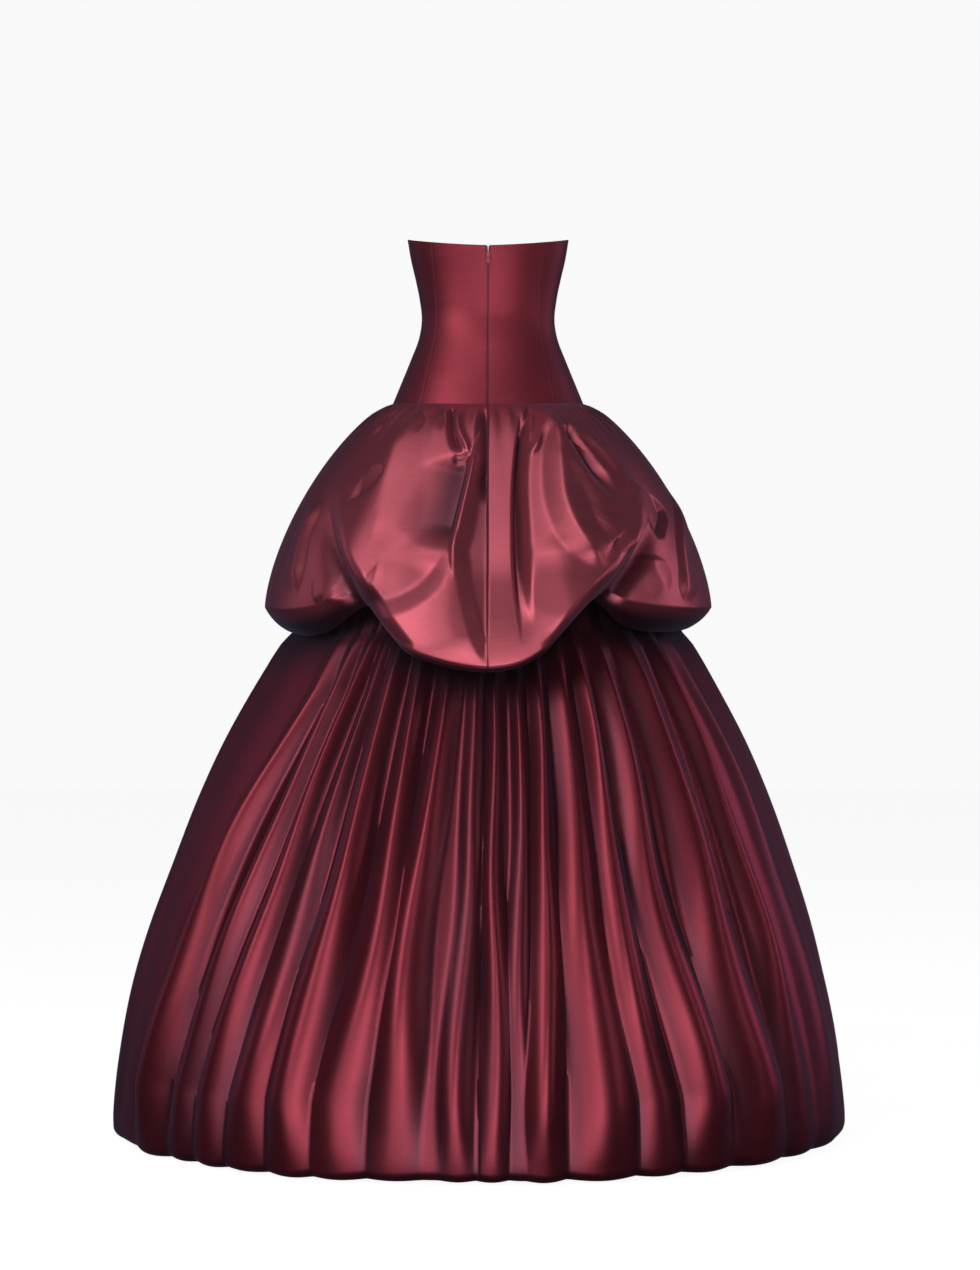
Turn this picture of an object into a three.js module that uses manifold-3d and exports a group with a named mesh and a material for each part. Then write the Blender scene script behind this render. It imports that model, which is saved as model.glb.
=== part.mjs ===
import * as THREE from 'three';
import { mergeVertices } from 'three/addons/utils/BufferGeometryUtils.js';
import Module from 'manifold-3d';

// Ball gown, in millimetres, +Z up. The origin is the centre of the waist.
// The back, with the zip, faces -Y. The wearer's right is +X.
// Angles are in degrees round the body: 0 is the centre back, 90 the wearer's right, 180 the centre front.

// Thicknesses and gaps.
const BODICE_WALL = 2.6;
const SKIRT_WALL = 2;
const SEAM_GAP = 0.3;

// Heights of the seams and edges.
const TOP_AT_SIDES = 133;
const TOP_DIP_BACK = 19.2;
const TOP_DIP_FRONT = 9;
const HIP_SEAM = -134;
const HIP_DROP_BACK = 7;
const SKIRT_HEM = -1306;

// Bodice sections: half width, and the depths of back and front from the waist's centre.
// The princess columns are the angles of the back and front princess seams at that height.
const BODICE_SECTIONS = [
  { z: 133, halfWidth: 130.5, back: 98, front: 116, backSeam: 42, frontSeam: 138 },
  { z: 100, halfWidth: 125, back: 91.5, front: 121, backSeam: 43, frontSeam: 138 },
  { z: 68, halfWidth: 117.5, back: 85, front: 114, backSeam: 45, frontSeam: 137 },
  { z: 36, halfWidth: 111, back: 80, front: 97, backSeam: 47, frontSeam: 135 },
  { z: 3, halfWidth: 107.5, back: 78, front: 84, backSeam: 48, frontSeam: 134 },
  { z: -29, halfWidth: 112.5, back: 86, front: 88, backSeam: 47, frontSeam: 135 },
  { z: -62, halfWidth: 125, back: 99, front: 97, backSeam: 45, frontSeam: 137 },
  { z: -94, halfWidth: 138, back: 111, front: 106, backSeam: 43, frontSeam: 138 },
  { z: -145, halfWidth: 159, back: 125, front: 118, backSeam: 41, frontSeam: 140 },
];
const BODICE_SQUARENESS = 0.9;
const ROUND_BELOW = -300;
const BODICE_COURSES = [0, 0.044, 0.071, 0.083, 0.2, 0.34, 0.47, 0.62, 0.8, 1];
const BUST = { angle: 156, spread: 20, z: 88, height: 42, fullness: 7 };

// Skirt sections. The shift moves the ring sideways, because the skirt stands wider on the wearer's left.
const SKIRT_SECTIONS = [
  { z: -134, halfWidth: 151, back: 119, front: 112, shift: 0 },
  { z: -200, halfWidth: 183, back: 158, front: 150, shift: 0 },
  { z: -300, halfWidth: 230, back: 212, front: 202, shift: 0 },
  { z: -400, halfWidth: 273, back: 254, front: 244, shift: 0 },
  { z: -500, halfWidth: 314, back: 297, front: 287, shift: -1 },
  { z: -520, halfWidth: 332, back: 312, front: 302, shift: -2 },
  { z: -580, halfWidth: 368, back: 345, front: 332, shift: -3 },
  { z: -677, halfWidth: 420, back: 392, front: 376, shift: -4 },
  { z: -774, halfWidth: 463, back: 435, front: 418, shift: -6 },
  { z: -872, halfWidth: 499, back: 472, front: 454, shift: -8 },
  { z: -969, halfWidth: 531, back: 503, front: 484, shift: -10 },
  { z: -1066, halfWidth: 556, back: 530, front: 510, shift: -12 },
  { z: -1163, halfWidth: 575, back: 550, front: 529, shift: -13 },
  { z: -1260, halfWidth: 588, back: 563, front: 541, shift: -14 },
  { z: -1306, halfWidth: 589, back: 565, front: 543, shift: -14 },
];

// Skirt folds: the crest's angle where the overskirt ends, at mid height and at the hem,
// its half width at the top and hem, and its height out of the cloth at the same three places.
const SKIRT_FOLDS = [
  { name: 'A', top: -77, mid: -77.6, hem: -78.5, wTop: 24, wHem: 44, hTop: 6, hMid: 8, hHem: 7 },
  { name: 'B', top: -42.8, mid: -53.4, hem: -58.7, wTop: 22, wHem: 52, hTop: 19, hMid: 34, hHem: 27 },
  { name: 'C', top: -37.1, mid: -43.6, hem: -50.6, wTop: 15, wHem: 30, hTop: 14, hMid: 20, hHem: 12 },
  { name: 'D', top: -31.9, mid: -37.4, hem: -43.2, wTop: 14, wHem: 34, hTop: 17, hMid: 26, hHem: 19 },
  { name: 'E', top: -27.4, mid: -31.2, hem: -35.8, wTop: 12, wHem: 44, hTop: 12, hMid: 14, hHem: 22 },
  { name: 'F', top: -22.6, mid: -24.2, hem: -28.6, wTop: 20, wHem: 44, hTop: 20, hMid: 32, hHem: 27 },
  { name: 'G', top: -15.7, mid: -16.2, hem: -20.6, wTop: 18, wHem: 48, hTop: 17, hMid: 26, hHem: 23 },
  { name: 'H', top: -8.6, mid: -10.9, hem: -12.6, wTop: 22, wHem: 42, hTop: 20, hMid: 29, hHem: 17 },
  { name: 'J', top: -2.2, mid: -2.4, hem: -3.2, wTop: 16, wHem: 26, hTop: 12, hMid: 12, hHem: 14 },
  { name: 'K', top: 2, mid: 2, hem: 2.4, wTop: 14, wHem: 24, hTop: 14, hMid: 19, hHem: 14 },
  { name: 'L', top: 7.2, mid: 6.4, hem: 6.4, wTop: 13, wHem: 24, hTop: 14, hMid: 15, hHem: 8 },
  { name: 'M', top: 12, mid: 10.1, hem: 9.8, wTop: 16, wHem: 32, hTop: 19, hMid: 26, hHem: 27 },
  { name: 'N', top: 17.6, mid: 16.6, hem: 18.4, wTop: 22, wHem: 52, hTop: 17, hMid: 29, hHem: 23 },
  { name: 'O', top: 23, mid: 22, hem: 27, wTop: 17, wHem: 38, hTop: 22, hMid: 31, hHem: 19 },
  { name: 'P', top: 30.4, mid: 29.6, hem: 36.2, wTop: 21, wHem: 44, hTop: 17, hMid: 26, hHem: 25 },
  { name: 'Q', top: 39.9, mid: 40.6, hem: 46.4, wTop: 30, wHem: 56, hTop: 22, hMid: 31, hHem: 20 },
  { name: 'R', top: 50.4, mid: 52, hem: 56.8, wTop: 22, wHem: 44, hTop: 17, hMid: 24, hHem: 12 },
  { name: 'S', top: 60.7, mid: 65.1, hem: 68, wTop: 26, wHem: 54, hTop: 8, hMid: 10, hHem: 10 },
  { name: 'T', top: 99, mid: 98, hem: 97, wTop: 21, wHem: 42, hTop: 7, hMid: 9, hHem: 10 },
  { name: 'U', top: 111, mid: 110, hem: 108, wTop: 23, wHem: 48, hTop: 11, hMid: 16, hHem: 15 },
  { name: 'V', top: 122, mid: 120, hem: 118, wTop: 21, wHem: 43, hTop: 15, hMid: 24, hHem: 20 },
  { name: 'W', top: 131, mid: 131, hem: 130, wTop: 19, wHem: 42, hTop: 17, hMid: 20, hHem: 14 },
  { name: 'X', top: 142, mid: 140, hem: 141, wTop: 23, wHem: 52, hTop: 18, hMid: 29, hHem: 25 },
  { name: 'Y', top: 150, mid: 150, hem: 152, wTop: 19, wHem: 38, hTop: 14, hMid: 19, hHem: 16 },
  { name: 'Z', top: 160, mid: 162, hem: 163, wTop: 24, wHem: 50, hTop: 19, hMid: 29, hHem: 23 },
  { name: 'a', top: 171, mid: 173, hem: 173, wTop: 18, wHem: 38, hTop: 15, hMid: 20, hHem: 14 },
  { name: 'b', top: 182, mid: 182, hem: 184, wTop: 22, wHem: 52, hTop: 19, hMid: 29, hHem: 26 },
  { name: 'c', top: 192, mid: 194, hem: 196, wTop: 19, wHem: 40, hTop: 16, hMid: 20, hHem: 17 },
  { name: 'd', top: 203, mid: 204, hem: 207, wTop: 24, wHem: 50, hTop: 18, hMid: 28, hHem: 23 },
  { name: 'e', top: 213, mid: 215, hem: 218, wTop: 18, wHem: 40, hTop: 15, hMid: 20, hHem: 16 },
  { name: 'f', top: 223, mid: 226, hem: 230, wTop: 22, wHem: 48, hTop: 16, hMid: 25, hHem: 22 },
  { name: 'g', top: 236, mid: 239, hem: 242, wTop: 23, wHem: 46, hTop: 11, hMid: 16, hHem: 13 },
  { name: 'h', top: 251, mid: 253, hem: 255, wTop: 21, wHem: 42, hTop: 7, hMid: 9, hHem: 9 },
];
const FOLD_LEVELS = {
  hip: -134, seated: -160, under: -330, pressed: -505, top: -590, mid: -910, arched: -1010, hem: -1190, bag: -1300,
};
// The share of the height at the hem that is left where the cloth turns under.
const FOLD_BAG_SHARE = 0.45;
// How round the folds' crests are, from a crisp pleat at the top to a wide arch at the hem, how soft their feet
// are, and the power of the mean that joins them in sharp valleys.
const FOLD_CREST = { top: 0.16, hem: 0.9 };
const FOLD_FOOT = 0.05;
const FOLD_MEETING = 8;
const HIP_SEATING = 14;
const HIP_CLEARANCE = 1;
const SKIRT_ROLL = 15;
const SKIRT_RETURN = 85;
const SKIRT_RETURN_LEAN = 12;
const HEM_LIFT = 9;

// Overskirt: the widest ring of its balloon, and its hem by angle.
// The edge is where the balloon is widest, and the cloth turns in below it by the tuck down to the hem.
const OVERSKIRT_RING = { halfWidth: 361, back: 368, front: 352 };
const OVERSKIRT_HEM = [
  { angle: -90, hem: -499, edge: -461, tuck: 36 },
  { angle: -76, hem: -503, edge: -464, tuck: 38 },
  { angle: -60, hem: -509, edge: -466, tuck: 38 },
  { angle: -47, hem: -498, edge: -460, tuck: 34 },
  { angle: -39, hem: -476, edge: -446, tuck: 26 },
  { angle: -34, hem: -463, edge: -444, tuck: 18 },
  { angle: -29, hem: -484, edge: -464, tuck: 17 },
  { angle: -22, hem: -520, edge: -500, tuck: 18 },
  { angle: -13, hem: -547, edge: -527, tuck: 18 },
  { angle: -3, hem: -562, edge: -543, tuck: 18 },
  { angle: 6, hem: -557, edge: -538, tuck: 18 },
  { angle: 12, hem: -535, edge: -516, tuck: 18 },
  { angle: 19, hem: -489, edge: -471, tuck: 17 },
  { angle: 25, hem: -460, edge: -441, tuck: 17 },
  { angle: 30, hem: -455, edge: -434, tuck: 20 },
  { angle: 36, hem: -484, edge: -452, tuck: 30 },
  { angle: 46, hem: -500, edge: -460, tuck: 36 },
  { angle: 64, hem: -502, edge: -464, tuck: 38 },
  { angle: 78, hem: -497, edge: -463, tuck: 36 },
  { angle: 90, hem: -492, edge: -462, tuck: 32 },
  { angle: 112, hem: -501, edge: -464, tuck: 34 },
  { angle: 130, hem: -492, edge: -460, tuck: 30 },
  { angle: 143, hem: -476, edge: -454, tuck: 20 },
  { angle: 156, hem: -502, edge: -482, tuck: 18 },
  { angle: 180, hem: -520, edge: -500, tuck: 18 },
  { angle: 203, hem: -503, edge: -483, tuck: 18 },
  { angle: 217, hem: -478, edge: -456, tuck: 20 },
  { angle: 231, hem: -494, edge: -462, tuck: 30 },
  { angle: 250, hem: -500, edge: -463, tuck: 34 },
  { angle: 270, hem: -499, edge: -461, tuck: 36 },
];
const BALLOON_FALL = 1.5;
const BALLOON_ROUNDNESS = 1.4;
const OVERSKIRT_RETURN = 42;
const OVERSKIRT_LEAN = 11;
const SEAM_FADE = 22;
const EDGE_ROLL = 0.4;

// The lobes that hang out over the side lobes. Each is bounded by two creases that close in downwards.
const LOBE_LEVELS = { starts: -190, dips: -300, full: -430 };
const LOBES = [
  { name: 'back', reach: 50, dip: 13, soft: 5.5,
    creases: [
      { z: -180, left: -66, right: 62 },
      { z: -270, left: -59, right: 56 },
      { z: -325, left: -50, right: 50 },
      { z: -392, left: -40.5, right: 39 },
      { z: -445, left: -34, right: 29.5 },
      { z: -520, left: -25, right: 21 },
    ] },
  { name: 'front', reach: 26, dip: 10, soft: 7,
    creases: [
      { z: -180, left: 118, right: 242 },
      { z: -325, left: 128, right: 232 },
      { z: -445, left: 142, right: 218 },
      { z: -520, left: 150, right: 210 },
    ] },
];

// Overskirt folds that a step away shows. Each runs down between two heights, through its angles
// at the high end, the middle and the low end. Its half widths are those on the side of lower
// and of higher angles, in millimetres on a ring of FOLD_RADIUS. A height below zero is a valley.
const OVERSKIRT_FOLDS = [
  { name: 'balloon_sag', from: -378, to: -458, high: -8.6, middle: -14.7, low: -23.2, before: 95, after: 24, height: -20 },
  { name: 'balloon_crown', from: -161, to: -400, high: -38, middle: -30.8, low: -28, before: 55, after: 60, height: 10 },
  { name: 'left_valley', from: -222, to: -384, high: -7.4, middle: -9.8, low: -10.6, before: 80, after: 16, height: -17 },
  { name: 'left_ridge', from: -170, to: -430, high: -1.8, middle: -6.8, low: -7.4, before: 14, after: 46, height: 14 },
  { name: 'belly_ridge', from: -340, to: -560, high: -8.4, middle: -6.4, low: -0.5, before: 110, after: 42, height: 12 },
  { name: 'strip_gap', from: -137, to: -310, high: -0.45, middle: -0.5, low: -0.45, before: 24, after: 4, height: -15 },
  { name: 'strip_valley', from: -220, to: -560, high: -0.45, middle: -0.5, low: -0.45, before: 44, after: 4, height: -9 },
  { name: 'strip_right_valley', from: -150, to: -530, high: 12, middle: 8, low: 8.4, before: 22, after: 14, height: -15 },
  { name: 'thin_ridge', from: -150, to: -540, high: 15.5, middle: 10.6, low: 11.2, before: 14, after: 66, height: 13 },
  { name: 'big_fold', from: -140, to: -402, high: 35.7, middle: 21.2, low: 27.2, before: 30, after: 70, height: 24 },
  { name: 'scoop', from: -186, to: -288, high: 27.4, middle: 33.8, low: 35.8, before: 24, after: 24, height: -22 },
  { name: 'red_facet', from: -262, to: -390, high: 54, middle: 45.6, low: 31, before: 62, after: 30, height: 18 },
  { name: 'purple_dent', from: -252, to: -372, high: 27, middle: 27, low: 27.5, before: 30, after: 36, height: -8 },
  { name: 'right_belly', from: -350, to: -520, high: 15.5, middle: 16.7, low: 14, before: 40, after: 90, height: 8 },
  { name: 'dent', from: -242, to: -300, high: -34.1, middle: -35.9, low: -43.2, before: 34, after: 24, height: -11 },
  { name: 'left_side_fold', from: -290, to: -452, high: -58.9, middle: -59.3, low: -56.4, before: 50, after: 20, height: 12 },
  { name: 'right_side_fold', from: -270, to: -462, high: 86.2, middle: 64.8, low: 58.2, before: 16, after: 44, height: 10 },
  { name: 'front_1', from: -150, to: -470, high: 104, middle: 103.6, low: 103, before: 32, after: 32, height: 6 },
  { name: 'front_2', from: -150, to: -460, high: 122, middle: 120, low: 120, before: 22, after: 32, height: 8 },
  { name: 'front_3', from: -150, to: -470, high: 141, middle: 148.5, low: 156, before: 32, after: 26, height: 10 },
  { name: 'front_4', from: -150, to: -470, high: 156, middle: 160.1, low: 166, before: 29, after: 19, height: 8 },
  { name: 'front_5', from: -150, to: -480, high: 171, middle: 172.9, low: 175, before: 24, after: 19, height: 9 },
  { name: 'front_6', from: -150, to: -480, high: 189, middle: 186.5, low: 185, before: 19, after: 24, height: 9 },
  { name: 'front_7', from: -150, to: -470, high: 205, middle: 199.9, low: 194, before: 22, after: 29, height: 9 },
  { name: 'front_8', from: -150, to: -470, high: 220, middle: 211.5, low: 204, before: 19, after: 29, height: 9 },
  { name: 'front_9', from: -150, to: -460, high: 238, middle: 240, low: 240, before: 32, after: 22, height: 8 },
  { name: 'front_10', from: -150, to: -470, high: 256, middle: 256.4, low: 257, before: 32, after: 32, height: 6 },
];
const FOLD_RADIUS = 330;
const FOLD_START = 0.2;
const FOLD_END = 0.3;
const PLEAT_CREST = 0.12;
const PLEAT_FOOT = 0.12;

// Zip: an invisible zip at the centre back, open in a short V above its slider.
const ZIP = {
  vHalfGap: 2.3, neckHalfGap: 1.5, sliderZ: 99.5, sliderHeight: 7.2, closedFrom: 93,
  tapeWidth: 10, tapeThickness: 0.8, tapeOverlap: 1.5, tapeSeat: 0.75, tapeInset: 1,
};
const SLIDER = {
  plateHalfWidth: 2.4, plateThickness: 1.2, neckHalfWidth: 1.1, archHalfWidth: 1,
  archRise: 2.9, archBar: 0.8, archHalfHeight: 2.3, archHoleHalfHeight: 1.45,
};
const PULL = {
  thickness: 0.9, barHalfHeight: 0.5, windowHalfWidth: 1.5, windowDepth: 3.3,
  topHalfWidth: 2.1, lobeHalfWidth: 2.4, length: 14,
};

// Colours of the shot taffeta and of the enamelled zip.
const taffeta = (color) => new THREE.MeshStandardMaterial({
  color, roughness: 0.38, metalness: 0.1, side: THREE.DoubleSide,
});
const MATERIALS = {
  bodice: taffeta(0x8c3a48),
  overskirt: taffeta(0xa64555),
  skirt: taffeta(0x7a3040),
  tape: new THREE.MeshStandardMaterial({ color: 0x35161c, roughness: 0.8, metalness: 0 }),
  enamel: new THREE.MeshStandardMaterial({ color: 0x9a4a5a, roughness: 0.3, metalness: 0.6 }),
};

// Small helpers for numbers and angles.
const radians = THREE.MathUtils.degToRad;
const clamp = THREE.MathUtils.clamp;

function blend(from, to, x) {
  const t = clamp((x - from) / (to - from), 0, 1);
  return t * t * (3 - 2 * t);
}

// A smooth curve through one column of a table whose rows rise or fall in the key column.
function through(table, key, column, x) {
  const rising = table[table.length - 1][key] > table[0][key];
  const rows = rising ? table : table.slice().reverse();
  if (x <= rows[0][key]) return rows[0][column];
  const last = rows.length - 1;
  if (x >= rows[last][key]) return rows[last][column];
  let i = 0;
  while (rows[i + 1][key] < x) i += 1;
  const slope = (a, b) => (rows[b][column] - rows[a][column]) / (rows[b][key] - rows[a][key]);
  const span = rows[i + 1][key] - rows[i][key];
  const startSlope = i > 0 ? slope(i - 1, i + 1) : slope(i, i + 1);
  const endSlope = i + 1 < last ? slope(i, i + 2) : slope(i, i + 1);
  const t = (x - rows[i][key]) / span;
  const t2 = t * t;
  const t3 = t2 * t;
  return (2 * t3 - 3 * t2 + 1) * rows[i][column] + (t3 - 2 * t2 + t) * span * startSlope
    + (3 * t2 - 2 * t3) * rows[i + 1][column] + (t3 - t2) * span * endSlope;
}

// An angle brought into the range that starts at -90, where every table starts.
function wrap(angle) {
  return ((angle + 90) % 360 + 360) % 360 - 90;
}

// The difference of two angles, the short way round.
function turn(a, b) {
  return ((a - b + 180) % 360 + 360) % 360 - 180;
}

// A point of a ring. The outward offset widens the ring by that much.
function ringPoint(section, angle, out, squareness = 1) {
  const s = Math.sin(radians(angle));
  const c = Math.cos(radians(angle));
  const across = Math.sign(s) * Math.abs(s) ** squareness;
  const along = Math.sign(c) * Math.abs(c) ** squareness;
  const depth = c > 0 ? section.back : section.front;
  const x = (section.shift ?? 0) + (section.halfWidth + out) * across;
  return new THREE.Vector3(x, -(depth + out) * along, section.z);
}

// The size of a ring at a height, worked out from its table.
function sectionAt(table, z) {
  const columns = Object.keys(table[0]).filter((column) => column !== 'z');
  const section = { z };
  for (const column of columns) section[column] = through(table, 'z', column, z);
  return section;
}

// The bodice's rings are a little square, and the skirts' grow round below the hip.
function squarenessAt(z) {
  return 1 - (1 - BODICE_SQUARENESS) * blend(ROUND_BELOW, HIP_SEAM, z);
}

function hipSeam(angle) {
  return HIP_SEAM - HIP_DROP_BACK * Math.max(0, Math.cos(radians(angle))) ** 2;
}

// Bodice.
function bodiceTop(angle) {
  const c = Math.cos(radians(angle));
  if (c > 0) return TOP_AT_SIDES - TOP_DIP_BACK * (1 - (1 - c) ** 0.75);
  return TOP_AT_SIDES - TOP_DIP_FRONT * c * c;
}

function bodicePoint(angle, z, out) {
  const fromBust = (Math.abs(turn(angle, 0)) - BUST.angle) / BUST.spread;
  const fromBustHeight = (z - BUST.z) / BUST.height;
  const bust = BUST.fullness * Math.exp(-(fromBust ** 2) - fromBustHeight ** 2);
  return ringPoint(sectionAt(BODICE_SECTIONS, z), angle, out + bust, BODICE_SQUARENESS);
}

// Half the gap between the bodice's two centre back edges, open in a V above the slider.
function zipHalfGap(z) {
  const neck = blend(ZIP.closedFrom, ZIP.closedFrom + 2, z);
  const vee = blend(ZIP.sliderZ + 2, TOP_AT_SIDES - TOP_DIP_BACK, z);
  return SEAM_GAP / 2 + (ZIP.neckHalfGap - SEAM_GAP / 2) * neck + (ZIP.vHalfGap - ZIP.neckHalfGap) * vee;
}

// Skirt.
function foldAngle(fold, z) {
  const rows = [
    { z: FOLD_LEVELS.top, angle: fold.top },
    { z: FOLD_LEVELS.mid, angle: fold.mid },
    { z: FOLD_LEVELS.hem, angle: fold.hem },
  ];
  return through(rows, 'z', 'angle', z);
}

function foldHeight(fold, z) {
  const rows = [
    { z: FOLD_LEVELS.hip, height: 0 },
    { z: FOLD_LEVELS.seated, height: 0 },
    { z: FOLD_LEVELS.under, height: fold.hTop * 0.4 },
    { z: FOLD_LEVELS.pressed, height: fold.hTop * 0.5 },
    { z: FOLD_LEVELS.top, height: fold.hTop },
    { z: FOLD_LEVELS.mid, height: fold.hMid },
    { z: FOLD_LEVELS.hem, height: fold.hHem },
    { z: FOLD_LEVELS.bag, height: fold.hHem * FOLD_BAG_SHARE },
  ];
  return through(rows, 'z', 'height', z);
}

function foldWidth(fold, z) {
  return fold.wTop + (fold.wHem - fold.wTop) * blend(FOLD_LEVELS.top, FOLD_LEVELS.hem, z);
}

// A skirt fold's section of height 1 and half width 1: a hyperbola, crisp or round by its crest, with soft feet.
function arch(away, crest) {
  const fall = Math.sqrt(away * away + crest ** 2) - crest;
  const rise = 1 - fall / (Math.sqrt(1 + crest ** 2) - crest);
  return (Math.sqrt(rise * rise + FOLD_FOOT ** 2) + rise) / 2;
}

// A high power mean of all folds, so that they meet in sharp valleys.
function skirtFolds(angle, z, radius) {
  let total = 0;
  const crest = FOLD_CREST.top + (FOLD_CREST.hem - FOLD_CREST.top) * blend(FOLD_LEVELS.top, FOLD_LEVELS.arched, z);
  for (const fold of SKIRT_FOLDS) {
    const away = radians(turn(angle, foldAngle(fold, z))) * radius / foldWidth(fold, z);
    total += (Math.max(foldHeight(fold, z), 0) * arch(away, crest)) ** FOLD_MEETING;
  }
  return total ** (1 / FOLD_MEETING);
}

// The skirt's outer face. The course runs 0 to 1 down the outside, to 2 round the hem and to 3 up inside.
function skirtPoint(angle, course) {
  const start = hipSeam(angle) - SEAM_GAP * 2;
  const rollTop = SKIRT_HEM + SKIRT_ROLL;
  const foldsAtHem = skirtFolds(angle, rollTop, SKIRT_SECTIONS[SKIRT_SECTIONS.length - 1].back);
  const lift = HEM_LIFT * (1 - clamp(foldsAtHem / 14, 0, 1));
  if (course <= 1) {
    const z = start + (rollTop + lift - start) * course;
    const section = sectionAt(SKIRT_SECTIONS, z);
    const hip = sectionAt(BODICE_SECTIONS, start);
    const seated = blend(start - HIP_SEATING, start, z);
    for (const size of ['halfWidth', 'back', 'front']) {
      section[size] += (hip[size] - SKIRT_WALL - HIP_CLEARANCE - section[size]) * seated;
    }
    return ringPoint(section, angle, skirtFolds(angle, z, section.back), squarenessAt(z));
  }
  const roll = Math.PI * clamp(course - 1, 0, 1);
  const rise = clamp(course - 2, 0, 1);
  const section = sectionAt(SKIRT_SECTIONS, rollTop);
  const inward = SKIRT_ROLL * (1 - Math.cos(roll)) + SKIRT_RETURN_LEAN * rise;
  section.z = rollTop + lift - SKIRT_ROLL * Math.sin(roll) + SKIRT_RETURN * rise;
  const depthOfFold = 1 - 0.5 * (1 - Math.cos(roll)) / 2 - 0.3 * rise;
  return ringPoint(section, angle, foldsAtHem * depthOfFold - inward);
}

// Overskirt.
function lobeOut(angle, z) {
  const grown = blend(LOBE_LEVELS.starts, LOBE_LEVELS.full, z);
  const deep = blend(LOBE_LEVELS.dips, LOBE_LEVELS.full, z);
  let out = 0;
  for (const lobe of LOBES) {
    const left = through(lobe.creases, 'z', 'left', z);
    const right = through(lobe.creases, 'z', 'right', z);
    const inside = (right - left) / 2 - Math.abs(turn(angle, (left + right) / 2));
    out += lobe.reach * grown * blend(-lobe.soft * 0.2, lobe.soft * 1.8, inside);
    out -= lobe.dip * deep * Math.exp(-((inside + lobe.soft * 0.35) ** 2) / (lobe.soft * 0.75) ** 2);
  }
  return out;
}

// A crisp fold's section: a tent of height 1 and half width 1, with its corners a little rounded.
function pleat(away) {
  const rise = 1 - Math.sqrt(away * away + PLEAT_CREST ** 2);
  return (Math.sqrt(rise * rise + PLEAT_FOOT ** 2) + rise) / 2;
}

// The angles that a fold of the overskirt runs through.
function foldCourse(fold) {
  return [
    { z: fold.from, angle: fold.high },
    { z: (fold.from + fold.to) / 2, angle: fold.middle },
    { z: fold.to, angle: fold.low },
  ];
}

function overskirtFolds(angle, z) {
  const millimetres = radians(1) * FOLD_RADIUS;
  let out = 0;
  for (const fold of OVERSKIRT_FOLDS) {
    const course = foldCourse(fold);
    const along = (fold.from - z) / (fold.from - fold.to);
    const lean = (fold.low - fold.high) * millimetres / (fold.from - fold.to);
    const away = turn(angle, through(course, 'z', 'angle', z)) * millimetres / Math.hypot(1, lean);
    const ends = blend(0, FOLD_START, along) * (1 - blend(1 - FOLD_END, 1, along));
    const width = (away > 0 ? fold.after : fold.before) * (0.45 + 0.55 * ends);
    if (ends > 0) out += fold.height * pleat(away / width) * ends;
  }
  return out;
}

// The overskirt's outer face: 0 to 1 down the balloon, to 2 under its edge and to 3 up inside.
function overskirtPoint(angle, course) {
  const wrapped = wrap(angle);
  const start = hipSeam(angle) - SEAM_GAP;
  const hem = through(OVERSKIRT_HEM, 'angle', 'hem', wrapped);
  const edge = through(OVERSKIRT_HEM, 'angle', 'edge', wrapped);
  const tuck = through(OVERSKIRT_HEM, 'angle', 'tuck', wrapped);
  const down = clamp(course, 0, 1);
  const under = clamp(course - 1, 0, 1);
  const quarter = under * Math.PI / 2;
  const rise = clamp(course - 2, 0, 1);
  const z = start + (edge - start) * down + (hem - edge) * (under + EDGE_ROLL * (Math.sin(quarter) - under));
  const hip = sectionAt(BODICE_SECTIONS, start);
  const grown = (1 - (1 - down) ** BALLOON_FALL) ** (1 / BALLOON_ROUNDNESS);
  const section = {
    z: z + OVERSKIRT_RETURN * rise,
    halfWidth: hip.halfWidth + (OVERSKIRT_RING.halfWidth - hip.halfWidth) * grown,
    back: hip.back + (OVERSKIRT_RING.back - hip.back) * grown,
    front: hip.front + (OVERSKIRT_RING.front - hip.front) * grown,
  };
  const calm = (1 - 0.6 * under) * blend(start - 1, start - SEAM_FADE, z);
  const folds = lobeOut(angle, z) * grown + overskirtFolds(angle, z) * calm;
  const inward = tuck * (under + EDGE_ROLL * (1 - Math.cos(quarter) - under)) + OVERSKIRT_LEAN * rise;
  return ringPoint(section, angle, folds - inward, squarenessAt(z));
}

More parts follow.
